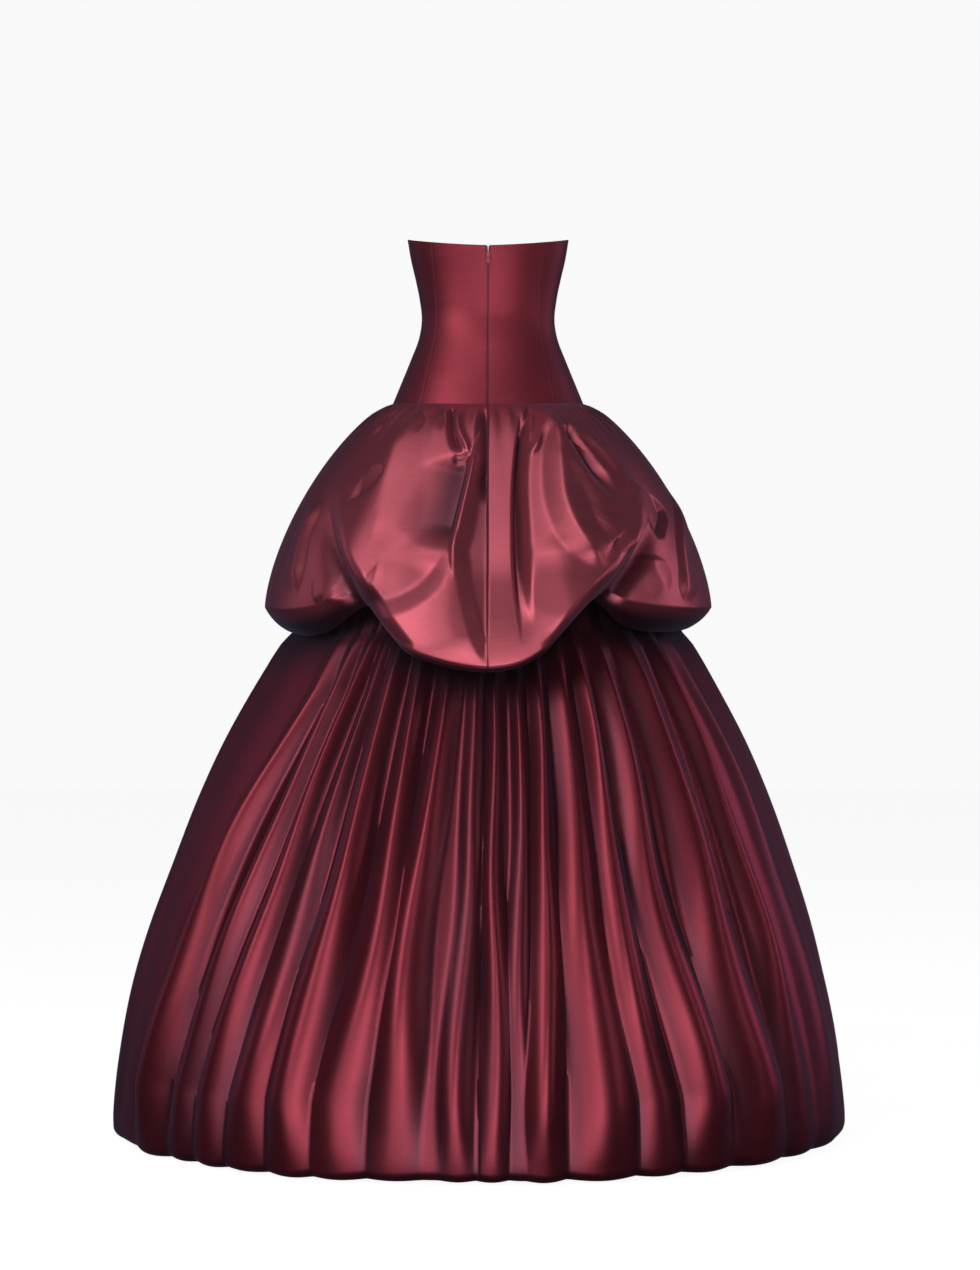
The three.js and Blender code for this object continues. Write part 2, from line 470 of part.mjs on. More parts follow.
// A closed cloth solid: an outer face, the same face moved in by the wall, and the rims between them.
// The surface gives a point for an angle and a course. Each column has one angle for each row.
// The rim in the level row, at the hip seam, is level.
function clothSolid(name, material, surface, columns, courses, wall, levelRow = -1) {
  const rows = courses.length;
  const positions = [];
  const push = (p) => positions.push(p.x, p.y, p.z);
  const inner = [];
  const stepAngle = 0.4;
  const stepCourse = 0.012;
  for (let i = 0; i < columns.length; i += 1) {
    for (let j = 0; j < rows; j += 1) {
      const angle = columns[i][j];
      const course = courses[j];
      const point = surface(angle, course);
      const round = surface(angle + stepAngle, course).sub(surface(angle - stepAngle, course));
      const lower = Math.min(course + stepCourse, courses[rows - 1]);
      const upper = Math.max(course - stepCourse, courses[0]);
      const down = surface(angle, lower).sub(surface(angle, upper));
      const normal = down.cross(round);
      if (j === levelRow) normal.z = 0;
      normal.normalize();
      push(point);
      inner.push(point.clone().addScaledVector(normal, -wall));
    }
  }
  inner.forEach(push);
  const offset = columns.length * rows;
  const outerAt = (i, j) => i * rows + j;
  const innerAt = (i, j) => offset + i * rows + j;
  const index = [];
  const quad = (a, b, c, d) => index.push(a, b, c, a, c, d);
  const lastColumn = columns.length - 1;
  const lastRow = rows - 1;
  for (let i = 0; i < lastColumn; i += 1) {
    for (let j = 0; j < lastRow; j += 1) {
      quad(outerAt(i, j), outerAt(i, j + 1), outerAt(i + 1, j + 1), outerAt(i + 1, j));
      quad(innerAt(i, j), innerAt(i + 1, j), innerAt(i + 1, j + 1), innerAt(i, j + 1));
    }
    quad(outerAt(i, 0), outerAt(i + 1, 0), innerAt(i + 1, 0), innerAt(i, 0));
    quad(outerAt(i, lastRow), innerAt(i, lastRow), innerAt(i + 1, lastRow), outerAt(i + 1, lastRow));
  }
  for (let j = 0; j < lastRow; j += 1) {
    quad(outerAt(0, j), innerAt(0, j), innerAt(0, j + 1), outerAt(0, j + 1));
    quad(outerAt(lastColumn, j), outerAt(lastColumn, j + 1), innerAt(lastColumn, j + 1), innerAt(lastColumn, j));
  }
  const geometry = new THREE.BufferGeometry();
  geometry.setAttribute('position', new THREE.Float32BufferAttribute(positions, 3));
  geometry.setIndex(index);
  geometry.computeVertexNormals();
  const mesh = new THREE.Mesh(geometry, material);
  mesh.name = name;
  return mesh;
}

// The course, besides the edge, at which the space between guides is measured.
const MIDWAY = 0.4;

// Columns of angles between guide lines, which are the crests of folds and the two seams.
// Each guide gives its angle at a course, and the space between two guides is split evenly.
function columnsBetween(guides, courses, widest, least) {
  const columns = [];
  for (let g = 0; g < guides.length - 1; g += 1) {
    const gapAt = (course) => Math.abs(guides[g + 1](course) - guides[g](course));
    const gap = Math.max(gapAt(1), gapAt(MIDWAY));
    const parts = Math.max(least, Math.ceil(gap / widest));
    for (let k = 0; k < parts; k += 1) {
      columns.push(courses.map((course) => {
        const from = guides[g](course);
        return from + (guides[g + 1](course) - from) * k / parts;
      }));
    }
  }
  columns.push(courses.map((course) => guides[guides.length - 1](course)));
  return columns;
}

// The angle that half a seam gap takes at a course of a surface.
function seamAllowance(surface, angle, course) {
  const point = surface(angle, course);
  return THREE.MathUtils.radToDeg(SEAM_GAP / 2 / Math.hypot(point.x, point.y));
}

// Bodice panels, seven in all, from seam to seam.
function bodicePanels() {
  const cuts = [
    { name: 'bodice_centre_front', from: (s) => s.frontSeam - 360, to: (s) => -s.frontSeam, parts: 10 },
    { name: 'bodice_side_front_left', from: (s) => -s.frontSeam, to: () => -90, parts: 5 },
    { name: 'bodice_side_back_left', from: () => -90, to: (s) => -s.backSeam, parts: 5 },
    { name: 'bodice_centre_back_left', from: (s) => -s.backSeam, to: () => 0, parts: 6 },
    { name: 'bodice_centre_back_right', from: () => 0, to: (s) => s.backSeam, parts: 6 },
    { name: 'bodice_side_back_right', from: (s) => s.backSeam, to: () => 90, parts: 5 },
    { name: 'bodice_side_front_right', from: () => 90, to: (s) => s.frontSeam, parts: 5 },
  ];
  const courses = BODICE_COURSES;
  const heightAt = (angle, course) => bodiceTop(angle) + (hipSeam(angle) - bodiceTop(angle)) * course;
  return cuts.map((cut) => {
    const surface = (angle, course) => {
      const z = heightAt(angle, course);
      const point = bodicePoint(angle, z, 0);
      const atCentreBack = 1 - clamp(Math.abs(point.x) / 20, 0, 1);
      const side = cut.to({ backSeam: 1 }) === 0 ? -1 : 1;
      if (cut.name.includes('centre_back')) point.x += side * (zipHalfGap(z) - SEAM_GAP / 2) * atCentreBack;
      return point;
    };
    const guide = (edge, towards) => (course) => {
      const guess = edge(sectionAt(BODICE_SECTIONS, heightAt(edge({ backSeam: 45, frontSeam: 137 }), course)));
      return guess + towards * seamAllowance(surface, guess, course);
    };
    const columns = columnsBetween([guide(cut.from, 1), guide(cut.to, -1)], courses, 90, cut.parts);
    return clothSolid(cut.name, MATERIALS.bodice, surface, columns, courses, BODICE_WALL, courses.length - 1);
  });
}

// A skirt or overskirt panel from one seam angle to another, with a column along each fold.
function gatheredPanel(name, material, surface, from, to, folds, courses, split) {
  const seam = (angle, towards) => (course) => angle + towards * seamAllowance(surface, angle, course);
  const guides = [seam(from, 1), ...folds, seam(to, -1)];
  const columns = columnsBetween(guides, courses, split.widest, split.least);
  return clothSolid(name, material, surface, columns, courses, SKIRT_WALL, 0);
}

function skirtPanels() {
  const courses = [0, 0.012, 0.12, 0.31, 0.39, 0.51, 0.65, 0.79, 0.91, 1, 1.3, 1.6, 2, 3];
  const guideOf = (fold) => (course) => {
    const start = HIP_SEAM;
    const z = start + (SKIRT_HEM - start) * Math.min(course, 1);
    return foldAngle(fold, z);
  };
  const between = (from, to) => SKIRT_FOLDS.filter((fold) => fold.hem > from && fold.hem < to).map(guideOf);
  const split = { widest: 7, least: 4 };
  return [
    ['skirt_back_left', -90, 0],
    ['skirt_back_right', 0, 90],
    ['skirt_front_right', 90, 180],
    ['skirt_front_left', 180, 270],
  ].map(([name, from, to]) => (
    gatheredPanel(name, MATERIALS.skirt, skirtPoint, from, to, between(from, to), courses, split)
  ));
}

function overskirtPanels() {
  const courses = [0, 0.05, 0.12, 0.21, 0.3, 0.4, 0.5, 0.6, 0.7, 0.8, 0.9, 1, 1.5, 2, 3];
  const guideOf = (table, column, aside = 0) => (course) => {
    let angle = through(table, 'z', column, HIP_SEAM);
    for (let step = 0; step < 4; step += 1) {
      const edge = through(OVERSKIRT_HEM, 'angle', 'edge', wrap(angle));
      const z = HIP_SEAM + (edge - HIP_SEAM) * Math.min(course, 1);
      angle = through(table, 'z', column, z) + aside;
    }
    return angle;
  };
  const foldOf = (name) => guideOf(foldCourse(OVERSKIRT_FOLDS.find((fold) => fold.name === name)), 'angle');
  const [back, front] = LOBES;
  const shoulder = 6;
  const rightShoulder = guideOf(back.creases, 'right', -shoulder);
  const bigFold = (course) => Math.min(foldOf('big_fold')(course), rightShoulder(course) - shoulder / 2);
  return [
    ['overskirt_back_left', -90, 0, { widest: 4.6, least: 1 }, [
      guideOf(back.creases, 'left'), guideOf(back.creases, 'left', shoulder),
      foldOf('left_valley'), foldOf('left_ridge'), foldOf('strip_valley'),
    ]],
    ['overskirt_back_right', 0, 90, { widest: 4.6, least: 1 }, [
      foldOf('strip_right_valley'), foldOf('thin_ridge'), bigFold,
      rightShoulder, guideOf(back.creases, 'right'),
    ]],
    ['overskirt_front', 90, 270, { widest: 6.5, least: 2 }, [
      guideOf(front.creases, 'left'), guideOf(front.creases, 'left', shoulder),
      foldOf('front_5'), foldOf('front_6'),
      guideOf(front.creases, 'right', -shoulder), guideOf(front.creases, 'right'),
    ]],
  ].map(([name, from, to, split, guides]) => (
    gatheredPanel(name, MATERIALS.overskirt, overskirtPoint, from, to, guides, courses, split)
  ));
}

// The two zip tapes lie flat behind the centre back edges.
function zipTapes() {
  const top = bodiceTop(0);
  const bottom = hipSeam(0);
  return [['left', -1], ['right', 1]].map(([side, sign]) => {
    const surface = (across, course) => {
      const z = clamp(top + (bottom - top) * course, bottom + ZIP.tapeInset, top - ZIP.tapeInset);
      const nearest = Math.max(zipHalfGap(z) - ZIP.tapeOverlap, SEAM_GAP / 2);
      const x = sign * nearest + across;
      const behind = BODICE_WALL + ZIP.tapeSeat;
      const section = sectionAt(BODICE_SECTIONS, z);
      const sine = (Math.abs(x) / (section.halfWidth - behind)) ** (1 / BODICE_SQUARENESS);
      const point = bodicePoint(THREE.MathUtils.radToDeg(Math.asin(sine)) * Math.sign(x), z, -behind);
      point.x = x;
      return point;
    };
    const edges = sign < 0 ? [-ZIP.tapeWidth, 0] : [0, ZIP.tapeWidth];
    const parts = 3;
    const columns = [];
    for (let k = 0; k <= parts; k += 1) {
      columns.push(BODICE_COURSES.map(() => edges[0] + (edges[1] - edges[0]) * k / parts));
    }
    return clothSolid(`zip_tape_${side}`, MATERIALS.tape, surface, columns, BODICE_COURSES, ZIP.tapeThickness);
  });
}

// Solid bodies joined into one, for the slider.
const wasm = await Module();
wasm.setup();

function manifoldOf(geometry) {
  const bare = geometry.clone();
  bare.deleteAttribute('normal');
  bare.deleteAttribute('uv');
  const merged = mergeVertices(bare);
  return new wasm.Manifold(new wasm.Mesh({
    numProp: 3,
    vertProperties: new Float32Array(merged.attributes.position.array),
    triVerts: new Uint32Array(merged.index.array),
  }));
}

function union(geometries) {
  const joined = geometries.map(manifoldOf).reduce((a, b) => a.add(b));
  const mesh = joined.getMesh();
  const result = new THREE.BufferGeometry();
  result.setAttribute('position', new THREE.Float32BufferAttribute(mesh.vertProperties, 3));
  result.setIndex(Array.from(mesh.triVerts));
  result.computeVertexNormals();
  return result;
}

// A profile drawn in y (outwards is minus) and z, and extruded evenly to both sides of x = 0.
function extrudeAcross(shape, halfWidth) {
  const geometry = new THREE.ExtrudeGeometry(shape, { depth: 2 * halfWidth, bevelEnabled: false, curveSegments: 3 });
  geometry.translate(0, 0, -halfWidth);
  const toYZ = new THREE.Matrix4().makeBasis(
    new THREE.Vector3(0, 1, 0), new THREE.Vector3(0, 0, 1), new THREE.Vector3(1, 0, 0),
  );
  geometry.applyMatrix4(toYZ);
  return geometry;
}

function roundedRectangle(left, bottom, right, top, radius, target = new THREE.Shape()) {
  target.moveTo(left + radius, bottom);
  target.lineTo(right - radius, bottom);
  target.absarc(right - radius, bottom + radius, radius, -Math.PI / 2, 0, false);
  target.lineTo(right, top - radius);
  target.absarc(right - radius, top - radius, radius, 0, Math.PI / 2, false);
  target.lineTo(left + radius, top);
  target.absarc(left + radius, top - radius, radius, Math.PI / 2, Math.PI, false);
  target.lineTo(left, bottom + radius);
  target.absarc(left + radius, bottom + radius, radius, Math.PI, Math.PI * 1.5, false);
  return target;
}

// The slider's own frame: y = 0 on the cloth's outer face, z = 0 at its middle, tilted with the cloth.
const clothAbove = bodicePoint(0, ZIP.sliderZ + 4, 0);
const clothBelow = bodicePoint(0, ZIP.sliderZ - 4, 0);
const clothTilt = Math.atan2(clothBelow.y - clothAbove.y, clothAbove.z - clothBelow.z);
const sliderPlace = bodicePoint(0, ZIP.sliderZ, 0);
const plateFace = -SEAM_GAP - SLIDER.plateThickness;
const hingeOut = plateFace - (SLIDER.archRise - SLIDER.archBar) / 2;

function zipSlider() {
  const half = ZIP.sliderHeight / 2;
  const plate = extrudeAcross(
    roundedRectangle(plateFace, -half, -SEAM_GAP, half, 0.4), SLIDER.plateHalfWidth,
  );
  const neckShape = new THREE.Shape();
  const neckIn = BODICE_WALL - 0.1;
  neckShape.moveTo(-SEAM_GAP - 0.4, -half + 1);
  neckShape.lineTo(neckIn, -half + 1);
  neckShape.lineTo(neckIn, half - 1);
  neckShape.lineTo(-SEAM_GAP - 0.4, half - 1);
  const neck = extrudeAcross(neckShape, SLIDER.neckHalfWidth);
  const arch = roundedRectangle(
    plateFace - SLIDER.archRise, -SLIDER.archHalfHeight, plateFace + 0.5, SLIDER.archHalfHeight, 0.7,
  );
  arch.holes.push(roundedRectangle(
    plateFace - SLIDER.archRise + SLIDER.archBar, -SLIDER.archHoleHalfHeight,
    plateFace - 0.01, SLIDER.archHoleHalfHeight, 0.4, new THREE.Path(),
  ));
  const geometry = union([plate, neck, extrudeAcross(arch, SLIDER.archHalfWidth)]);
  const mesh = new THREE.Mesh(geometry, MATERIALS.enamel);
  mesh.name = 'zip_slider';
  mesh.position.copy(sliderPlace);
  mesh.rotation.x = clothTilt;
  return mesh;
}

// The pull hangs straight down from its top bar, which lies in the slider's arch.
function zipPull() {
  const outline = new THREE.Shape();
  const top = PULL.barHalfHeight;
  const tip = top - PULL.length;
  const lobeAt = tip + PULL.lobeHalfWidth;
  const waist = 1.3;
  outline.moveTo(-PULL.topHalfWidth + 0.4, top);
  outline.quadraticCurveTo(-PULL.topHalfWidth, top, -PULL.topHalfWidth, top - 0.5);
  outline.lineTo(-PULL.topHalfWidth, -PULL.windowDepth);
  outline.bezierCurveTo(-waist, -PULL.windowDepth - 1.6, -PULL.lobeHalfWidth, lobeAt + 2.6,
    -PULL.lobeHalfWidth, lobeAt);
  outline.absarc(0, lobeAt, PULL.lobeHalfWidth, Math.PI, 2 * Math.PI, false);
  outline.bezierCurveTo(PULL.lobeHalfWidth, lobeAt + 2.6, waist, -PULL.windowDepth - 1.6,
    PULL.topHalfWidth, -PULL.windowDepth);
  outline.lineTo(PULL.topHalfWidth, top - 0.5);
  outline.quadraticCurveTo(PULL.topHalfWidth, top, PULL.topHalfWidth - 0.4, top);
  outline.closePath();
  outline.holes.push(roundedRectangle(
    -PULL.windowHalfWidth, -PULL.windowDepth, PULL.windowHalfWidth, -PULL.barHalfHeight, 0.4, new THREE.Path(),
  ));
  const geometry = new THREE.ExtrudeGeometry(outline, {
    depth: PULL.thickness, bevelEnabled: false, curveSegments: 6,
  });
  geometry.translate(0, 0, -PULL.thickness / 2);
  geometry.rotateX(Math.PI / 2);
  const mesh = new THREE.Mesh(geometry, MATERIALS.enamel);
  mesh.name = 'zip_pull';
  const hinge = new THREE.Vector3(0, hingeOut, 0).applyAxisAngle(new THREE.Vector3(1, 0, 0), clothTilt);
  mesh.position.copy(sliderPlace).add(hinge);
  return mesh;
}

// The whole gown.
const gown = new THREE.Group();
gown.name = 'ball_gown';
gown.add(...bodicePanels(), ...overskirtPanels(), ...skirtPanels(), ...zipTapes(), zipSlider(), zipPull());

export default gown;
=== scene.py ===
import bpy
import numpy as np
from bpy.props import FloatProperty, FloatVectorProperty, IntProperty, PointerProperty
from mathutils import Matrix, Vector


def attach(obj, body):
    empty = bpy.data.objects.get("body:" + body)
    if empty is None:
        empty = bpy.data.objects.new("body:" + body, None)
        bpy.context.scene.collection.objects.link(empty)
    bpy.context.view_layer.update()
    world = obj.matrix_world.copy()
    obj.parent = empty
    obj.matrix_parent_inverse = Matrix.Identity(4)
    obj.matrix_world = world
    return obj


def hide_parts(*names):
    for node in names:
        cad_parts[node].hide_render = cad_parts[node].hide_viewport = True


bl_info = {
    "name": "Ball Gown",
    "version": (1, 0, 0),
    "blender": (4, 5, 0),
    "location": "3D View > Sidebar > Gown",
    "description": "Builds the looks of a strapless ball gown in shot taffeta round its packed frame",
    "category": "Object",
}

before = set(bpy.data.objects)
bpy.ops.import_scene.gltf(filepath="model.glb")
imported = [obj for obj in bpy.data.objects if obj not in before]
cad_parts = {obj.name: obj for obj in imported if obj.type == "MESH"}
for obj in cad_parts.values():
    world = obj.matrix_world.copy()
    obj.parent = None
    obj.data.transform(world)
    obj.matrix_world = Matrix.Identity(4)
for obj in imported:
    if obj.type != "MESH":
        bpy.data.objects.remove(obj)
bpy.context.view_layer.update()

# The gown's forms are worked out in millimetres, as on a pattern, and meshes are in metres.
# The origin is the centre of the waist. The back, with the zip, faces -Y. The wearer's right is +X.
# Angles are degrees round the body: 0 is the centre back, 90 the wearer's right, 180 the centre front.
MM = 0.001
TINY = 1e-9


class Table:
    """A short table with named columns, kept as one array for each column."""

    def __init__(self, columns, rows):
        self.rows = rows
        for place, name in enumerate(columns.split()):
            column = [row[place] for row in rows]
            setattr(self, name, column if isinstance(column[0], (str, tuple)) else np.array(column, float))


# Thicknesses of the cloth.
BODICE_WALL = 1.6
SKIRT_WALL = 1.0

# The solids' seams are open by a hair. Here each sewn edge laps a little past the middle, which closes them.
SEAM_LAP = 0.03
# Each seam lies in a groove: its depth, its thread's half width, and how dark the thread is.
SEAM_GROOVE, SEAM_WIDTH, SEAM_DARK = 0.9, 1.0, 0.75
# The bodice's grooves have their own depth and half width, and most of its threads are less dark.
BODICE_GROOVE, BODICE_GROOVE_WIDTH, BODICE_SEAM_DARK = 0.35, 1.2, 0.45
# The overskirt's grid has columns at these distances from its seams.
SEAM_LINES = (0, 0.6, 1.3, 2.6)

# Heights of the bodice's top edge, the hip seam and the hem, and how far they dip in the middle.
TOP_AT_SIDES, TOP_DIP_BACK, TOP_DIP_FRONT = 133, 19.2, 9
HIP_SEAM, HIP_DROP_BACK = -134, 7
SKIRT_HEM = -1306
# The power of the top edge's dip at the back.
TOP_POWER = 0.75

BODICE_SECTIONS = Table("z halfWidth back front backSeam frontSeam", [
    (133, 130.5, 98, 116, 42, 138),
    (100, 125, 91.5, 121, 43, 138),
    (68, 117.5, 85, 114, 45, 137),
    (36, 111, 80, 97, 47, 135),
    (3, 107.5, 78, 84, 48, 134),
    (-29, 112.5, 86, 88, 47, 135),
    (-62, 125, 99, 97, 45, 137),
    (-94, 138, 111, 106, 43, 138),
    (-145, 159, 125, 118, 41, 140),
])
# How square the bodice's rings are, as a power, and the height below which the skirts' are round.
BODICE_SQUARENESS, ROUND_BELOW = 0.9, -300
# The fullness on each side of the front: its middle's angle and spread, its height and spread, and its depth.
BUST_ANGLE, BUST_SPREAD, BUST_Z, BUST_HEIGHT, BUST_FULLNESS = 156, 20, 88, 42, 7
# Usual radii of the rings, which turn degrees into millimetres for the panels and for their seams' laps.
PANEL_RADIUS, LAP_RADIUS = 100, 110
# Shares of a panel's width where the columns beside its seams lie, and where the evenly spaced ones start.
NEAR_SEAM, EVEN_FROM = np.array([0, 0.5, 1.2, 2.2, 3.5]) / 110, 0.05

# Half the gap between the centre back edges at the zip slider's neck, and the heights between which it opens.
NECK_HALF_GAP, NECK_FROM, NECK_TO = 1.5, 93, 95
# The V over the slider: where it starts, how much wider half of it is at its top, and how far from the seam
# the cloth still makes room for it.
V_FROM, V_SPREAD, V_REACH = 101.5, 0.8, 20

SKIRT_SECTIONS = Table("z halfWidth back front shift", [
    (-134, 151, 119, 112, 0),
    (-200, 183, 158, 150, 0),
    (-300, 230, 212, 202, 0),
    (-400, 273, 254, 244, 0),
    (-500, 314, 297, 287, -1),
    (-520, 332, 312, 302, -2),
    (-580, 368, 345, 332, -3),
    (-677, 420, 392, 376, -4),
    (-774, 463, 435, 418, -6),
    (-872, 499, 472, 454, -8),
    (-969, 531, 503, 484, -10),
    (-1066, 556, 530, 510, -12),
    (-1163, 575, 550, 529, -13),
    (-1260, 588, 563, 541, -14),
    (-1306, 589, 565, 543, -14),
])

# Skirt folds: the crest's angle where the overskirt ends, at mid height and at the hem,
# its half width at the top and hem, and its height out of the cloth at the same three places.
SKIRT_FOLDS = Table("name top mid hem wTop wHem hTop hMid hHem", [
    ("A", -77, -77.6, -78.5, 24, 44, 6, 8, 7),
    ("B", -42.8, -53.4, -58.7, 22, 52, 19, 34, 27),
    ("C", -37.1, -43.6, -50.6, 15, 30, 14, 20, 12),
    ("D", -31.9, -37.4, -43.2, 14, 34, 17, 26, 19),
    ("E", -27.4, -31.2, -35.8, 12, 44, 12, 14, 22),
    ("F", -22.6, -24.2, -28.6, 20, 44, 20, 32, 27),
    ("G", -15.7, -16.2, -20.6, 18, 48, 17, 26, 23),
    ("H", -8.6, -10.9, -12.6, 22, 42, 20, 29, 17),
    ("J", -2.2, -2.4, -3.2, 16, 26, 12, 12, 14),
    ("K", 2, 2, 2.4, 14, 24, 14, 19, 14),
    ("L", 7.2, 6.4, 6.4, 13, 24, 14, 15, 8),
    ("M", 12, 10.1, 9.8, 16, 32, 19, 26, 27),
    ("N", 17.6, 16.6, 18.4, 22, 52, 17, 29, 23),
    ("O", 23, 22, 27, 17, 38, 22, 31, 19),
    ("P", 30.4, 29.6, 36.2, 21, 44, 17, 26, 25),
    ("Q", 39.9, 40.6, 46.4, 30, 56, 22, 31, 20),
    ("R", 50.4, 52, 56.8, 22, 44, 17, 24, 12),
    ("S", 60.7, 65.1, 68, 26, 54, 8, 10, 10),
    ("T", 99, 98, 97, 21, 42, 7, 9, 10),
    ("U", 111, 110, 108, 23, 48, 11, 16, 15),
    ("V", 122, 120, 118, 21, 43, 15, 24, 20),
    ("W", 131, 131, 130, 19, 42, 17, 20, 14),
    ("X", 142, 140, 141, 23, 52, 18, 29, 25),
    ("Y", 150, 150, 152, 19, 38, 14, 19, 16),
    ("Z", 160, 162, 163, 24, 50, 19, 29, 23),
    ("a", 171, 173, 173, 18, 38, 15, 20, 14),
    ("b", 182, 182, 184, 22, 52, 19, 29, 26),
    ("c", 192, 194, 196, 19, 40, 16, 20, 17),
    ("d", 203, 204, 207, 24, 50, 18, 28, 23),
    ("e", 213, 215, 218, 18, 40, 15, 20, 16),
    ("f", 223, 226, 230, 22, 48, 16, 25, 22),
    ("g", 236, 239, 242, 23, 46, 11, 16, 13),
    ("h", 251, 253, 255, 21, 42, 7, 9, 9),
])
# Heights on the skirt's folds, from the hip seam down to the overskirt's edge, and from there to the hem.
FOLD_HIP, FOLD_SEATED, FOLD_UNDER, FOLD_PRESSED, FOLD_TOP = -134, -160, -330, -505, -590
FOLD_MID, FOLD_ARCHED, FOLD_HEM, FOLD_BAG = -910, -1010, -1190, -1300
# The share of a fold's height at the hem that is left where the cloth turns under.
FOLD_BAG_SHARE = 0.35
# The shares of its height at the top that are left under the overskirt's edge and further up.
PRESSED_SHARE, UNDER_SHARE = 0.5, 0.4
# Each crest wanders a little to both sides, in degrees, and its height swells, both in slow waves down the
# skirt, which are shifted from fold to fold.
FOLD_WANDER, FOLD_WAVE, WANDER_SHIFT = 0.45, 78, 2.4
FOLD_SWELL, SWELL_WAVE, SWELL_SHIFT = 0.14, 60, 1.9
# How round a fold's crest is, from a crisp pleat at the top to a wide arch at the hem, and how soft its feet.
FOLD_CREST_TOP, FOLD_CREST_HEM = 0.16, 0.9
FOLD_FOOT = 0.05
# The power of the mean by which neighbouring folds meet: the higher, the sharper the valley between them.
FOLD_MEETING = 8
# Where the columns from a crest to a valley lie, as shares of the way.
FOLD_SHARES = (0, 0.1, 0.22, 0.37, 0.55, 0.74, 0.9)
# The rounds that find a fold's angle at the height of a course.
FOLD_ROUNDS = 3
# A valley is looked for at these shares of the way between two crests. It is pulled towards the middle by
# this many millimetres, and smoothed over this many courses to each side.
VALLEY_SEARCH = np.linspace(0.08, 0.92, 43)[:, None]
VALLEY_PULL, VALLEY_SMOOTH = 1.2, 3

# Strength of the painted shade, from 0 to 1: in valleys, in creases and under edges.
VALLEY_SHADE, CREASE_SHADE, UNDER_SHADE = 0.85, 0.78, 0.95
# Painted shade towards the sides of the overskirt and of the bodice, where it comes in between two angles.
SIDE_SHADE, SIDE_ANGLES = 0.45, (44, 72)
BODICE_SIDE_SHADE, BODICE_SIDE_ANGLES = 0.62, (26, 68)
# The depth in millimetres at which an overskirt valley's painted shade is full.
VALLEY_FULL = 17
# The courses between which painted shade comes in under the overskirt's edge.
EDGE_DARKENS = (1.05, 1.6)
# A skirt fold's usual height at the bag, the hem, the middle and the top, by which its valleys are judged.
FOLD_USUAL = np.array([6, 17, 23, 18.0])
# How sharply the painted shade grows in the skirt's valleys, how dark the lowest of them stay, and up to
# which share of a fold's height they count as the lowest.
VALLEY_POWER, VALLEY_FLOOR, VALLEY_LOW = 1.3, 0.2, 0.2
# How far below the overskirt's edge its shade fades on the skirt.
COVERED_FADE = 52

# The skirt's panels and the angles of their seams.
SKIRT_PANELS = (
    ("back_left", -90, 0),
    ("back_right", 0, 90),
    ("front_left", 180, 270),
    ("front_right", 90, 180),
)
# At the hip the skirt is seated this far down, this far inside the bodice's ring and this far under the seam.
HIP_SEATING, HIP_INSIDE, HIP_DROP = 14, 3, 0.6
# The hem turns under in a half circle of this radius, and runs up inside by this much, leaning in.
SKIRT_ROLL, SKIRT_RETURN, SKIRT_RETURN_LEAN = 15, 85, 12
# How far the hem lifts between folds, and the fold height from which it doesn't lift.
HEM_LIFT, HEM_LIFT_FULL = 5, 14
# How much of a fold is gone where the hem has turned under, and how much more where it ends inside.
HEM_CALM, RETURN_CALM = 0.5, 0.3

# The overskirt's widest ring.
OVERSKIRT_HALF_WIDTH, OVERSKIRT_BACK, OVERSKIRT_FRONT = 361, 368, 352
# Its balloon is widest at the edge. Below the edge the cloth turns in by the tuck, down to the hem.
OVERSKIRT_HEM = Table("angle hem edge tuck", [
    (-90, -499, -461, 36),
    (-76, -503, -464, 38),
    (-60, -509, -466, 38),
    (-47, -498, -460, 34),
    (-39, -476, -446, 26),
    (-34, -463, -444, 18),
    (-29, -484, -468, 12),
    (-22, -520, -507, 9),
    (-13, -547, -536, 7),
    (-3, -562, -552, 6),
    (6, -557, -547, 6),
    (12, -535, -524, 7),
    (19, -489, -475, 9),
    (25, -460, -444, 12),
    (30, -455, -434, 20),
    (36, -484, -452, 30),
    (46, -500, -460, 36),
    (64, -502, -464, 38),
    (78, -497, -463, 36),
    (90, -492, -462, 32),
    (112, -501, -464, 34),
    (130, -492, -460, 30),
    (143, -476, -454, 20),
    (156, -502, -482, 18),
    (180, -520, -500, 18),
    (203, -503, -483, 18),
    (217, -478, -456, 20),
    (231, -494, -462, 30),
    (250, -500, -463, 34),
    (270, -499, -461, 36),
])
# The powers that shape the balloon, as its surface's docstring gives them.
BALLOON_FALL, BALLOON_ROUNDNESS = 1.5, 1.4
# Its cloth runs up inside by this much, leaning in.
OVERSKIRT_RETURN, OVERSKIRT_LEAN = 42, 11
# How round the edge is, from 0 to 1, and how much of the folds is gone where it has turned under.
EDGE_ROLL, EDGE_CALM = 0.4, 0.6
# The folds come in over this distance below the hip seam.
SEAM_FADE = 22
# Small gathers all round under the hip seam: their number, height and how fast they fade downwards.
GATHERS, GATHER_HEIGHT, GATHER_FALL = 46, 4.5, 26
# How much their spacing wanders, and how many times round the hip.
GATHER_WANDER, GATHER_WAVES = 1.7, 7

# The lobes that hang out over the side lobes: how far they reach out, how deep their creases dip in and how
# softly, in degrees. Each is bounded by two creases that close in downwards.
LOBES = [
    {"reach": 50, "dip": 13, "soft": 5.5, "creases": Table("z left right", [
        (-180, -66, 62), (-270, -59, 56), (-325, -50, 50),
        (-392, -40.5, 39), (-445, -34, 29.5), (-520, -25, 21),
    ])},
    {"reach": 26, "dip": 10, "soft": 7, "creases": Table("z left right", [
        (-180, 118, 242), (-325, 128, 232), (-445, 142, 218), (-520, 150, 210),
    ])},
]
# The heights where the lobes start, where their creases start, and where both are full.
LOBE_STARTS, LOBE_DIPS, LOBE_FULL = -190, -300, -430
# A lobe's step out rises between these shares of its softness inside the crease.
STEP_FROM, STEP_TO = -0.2, 1.8
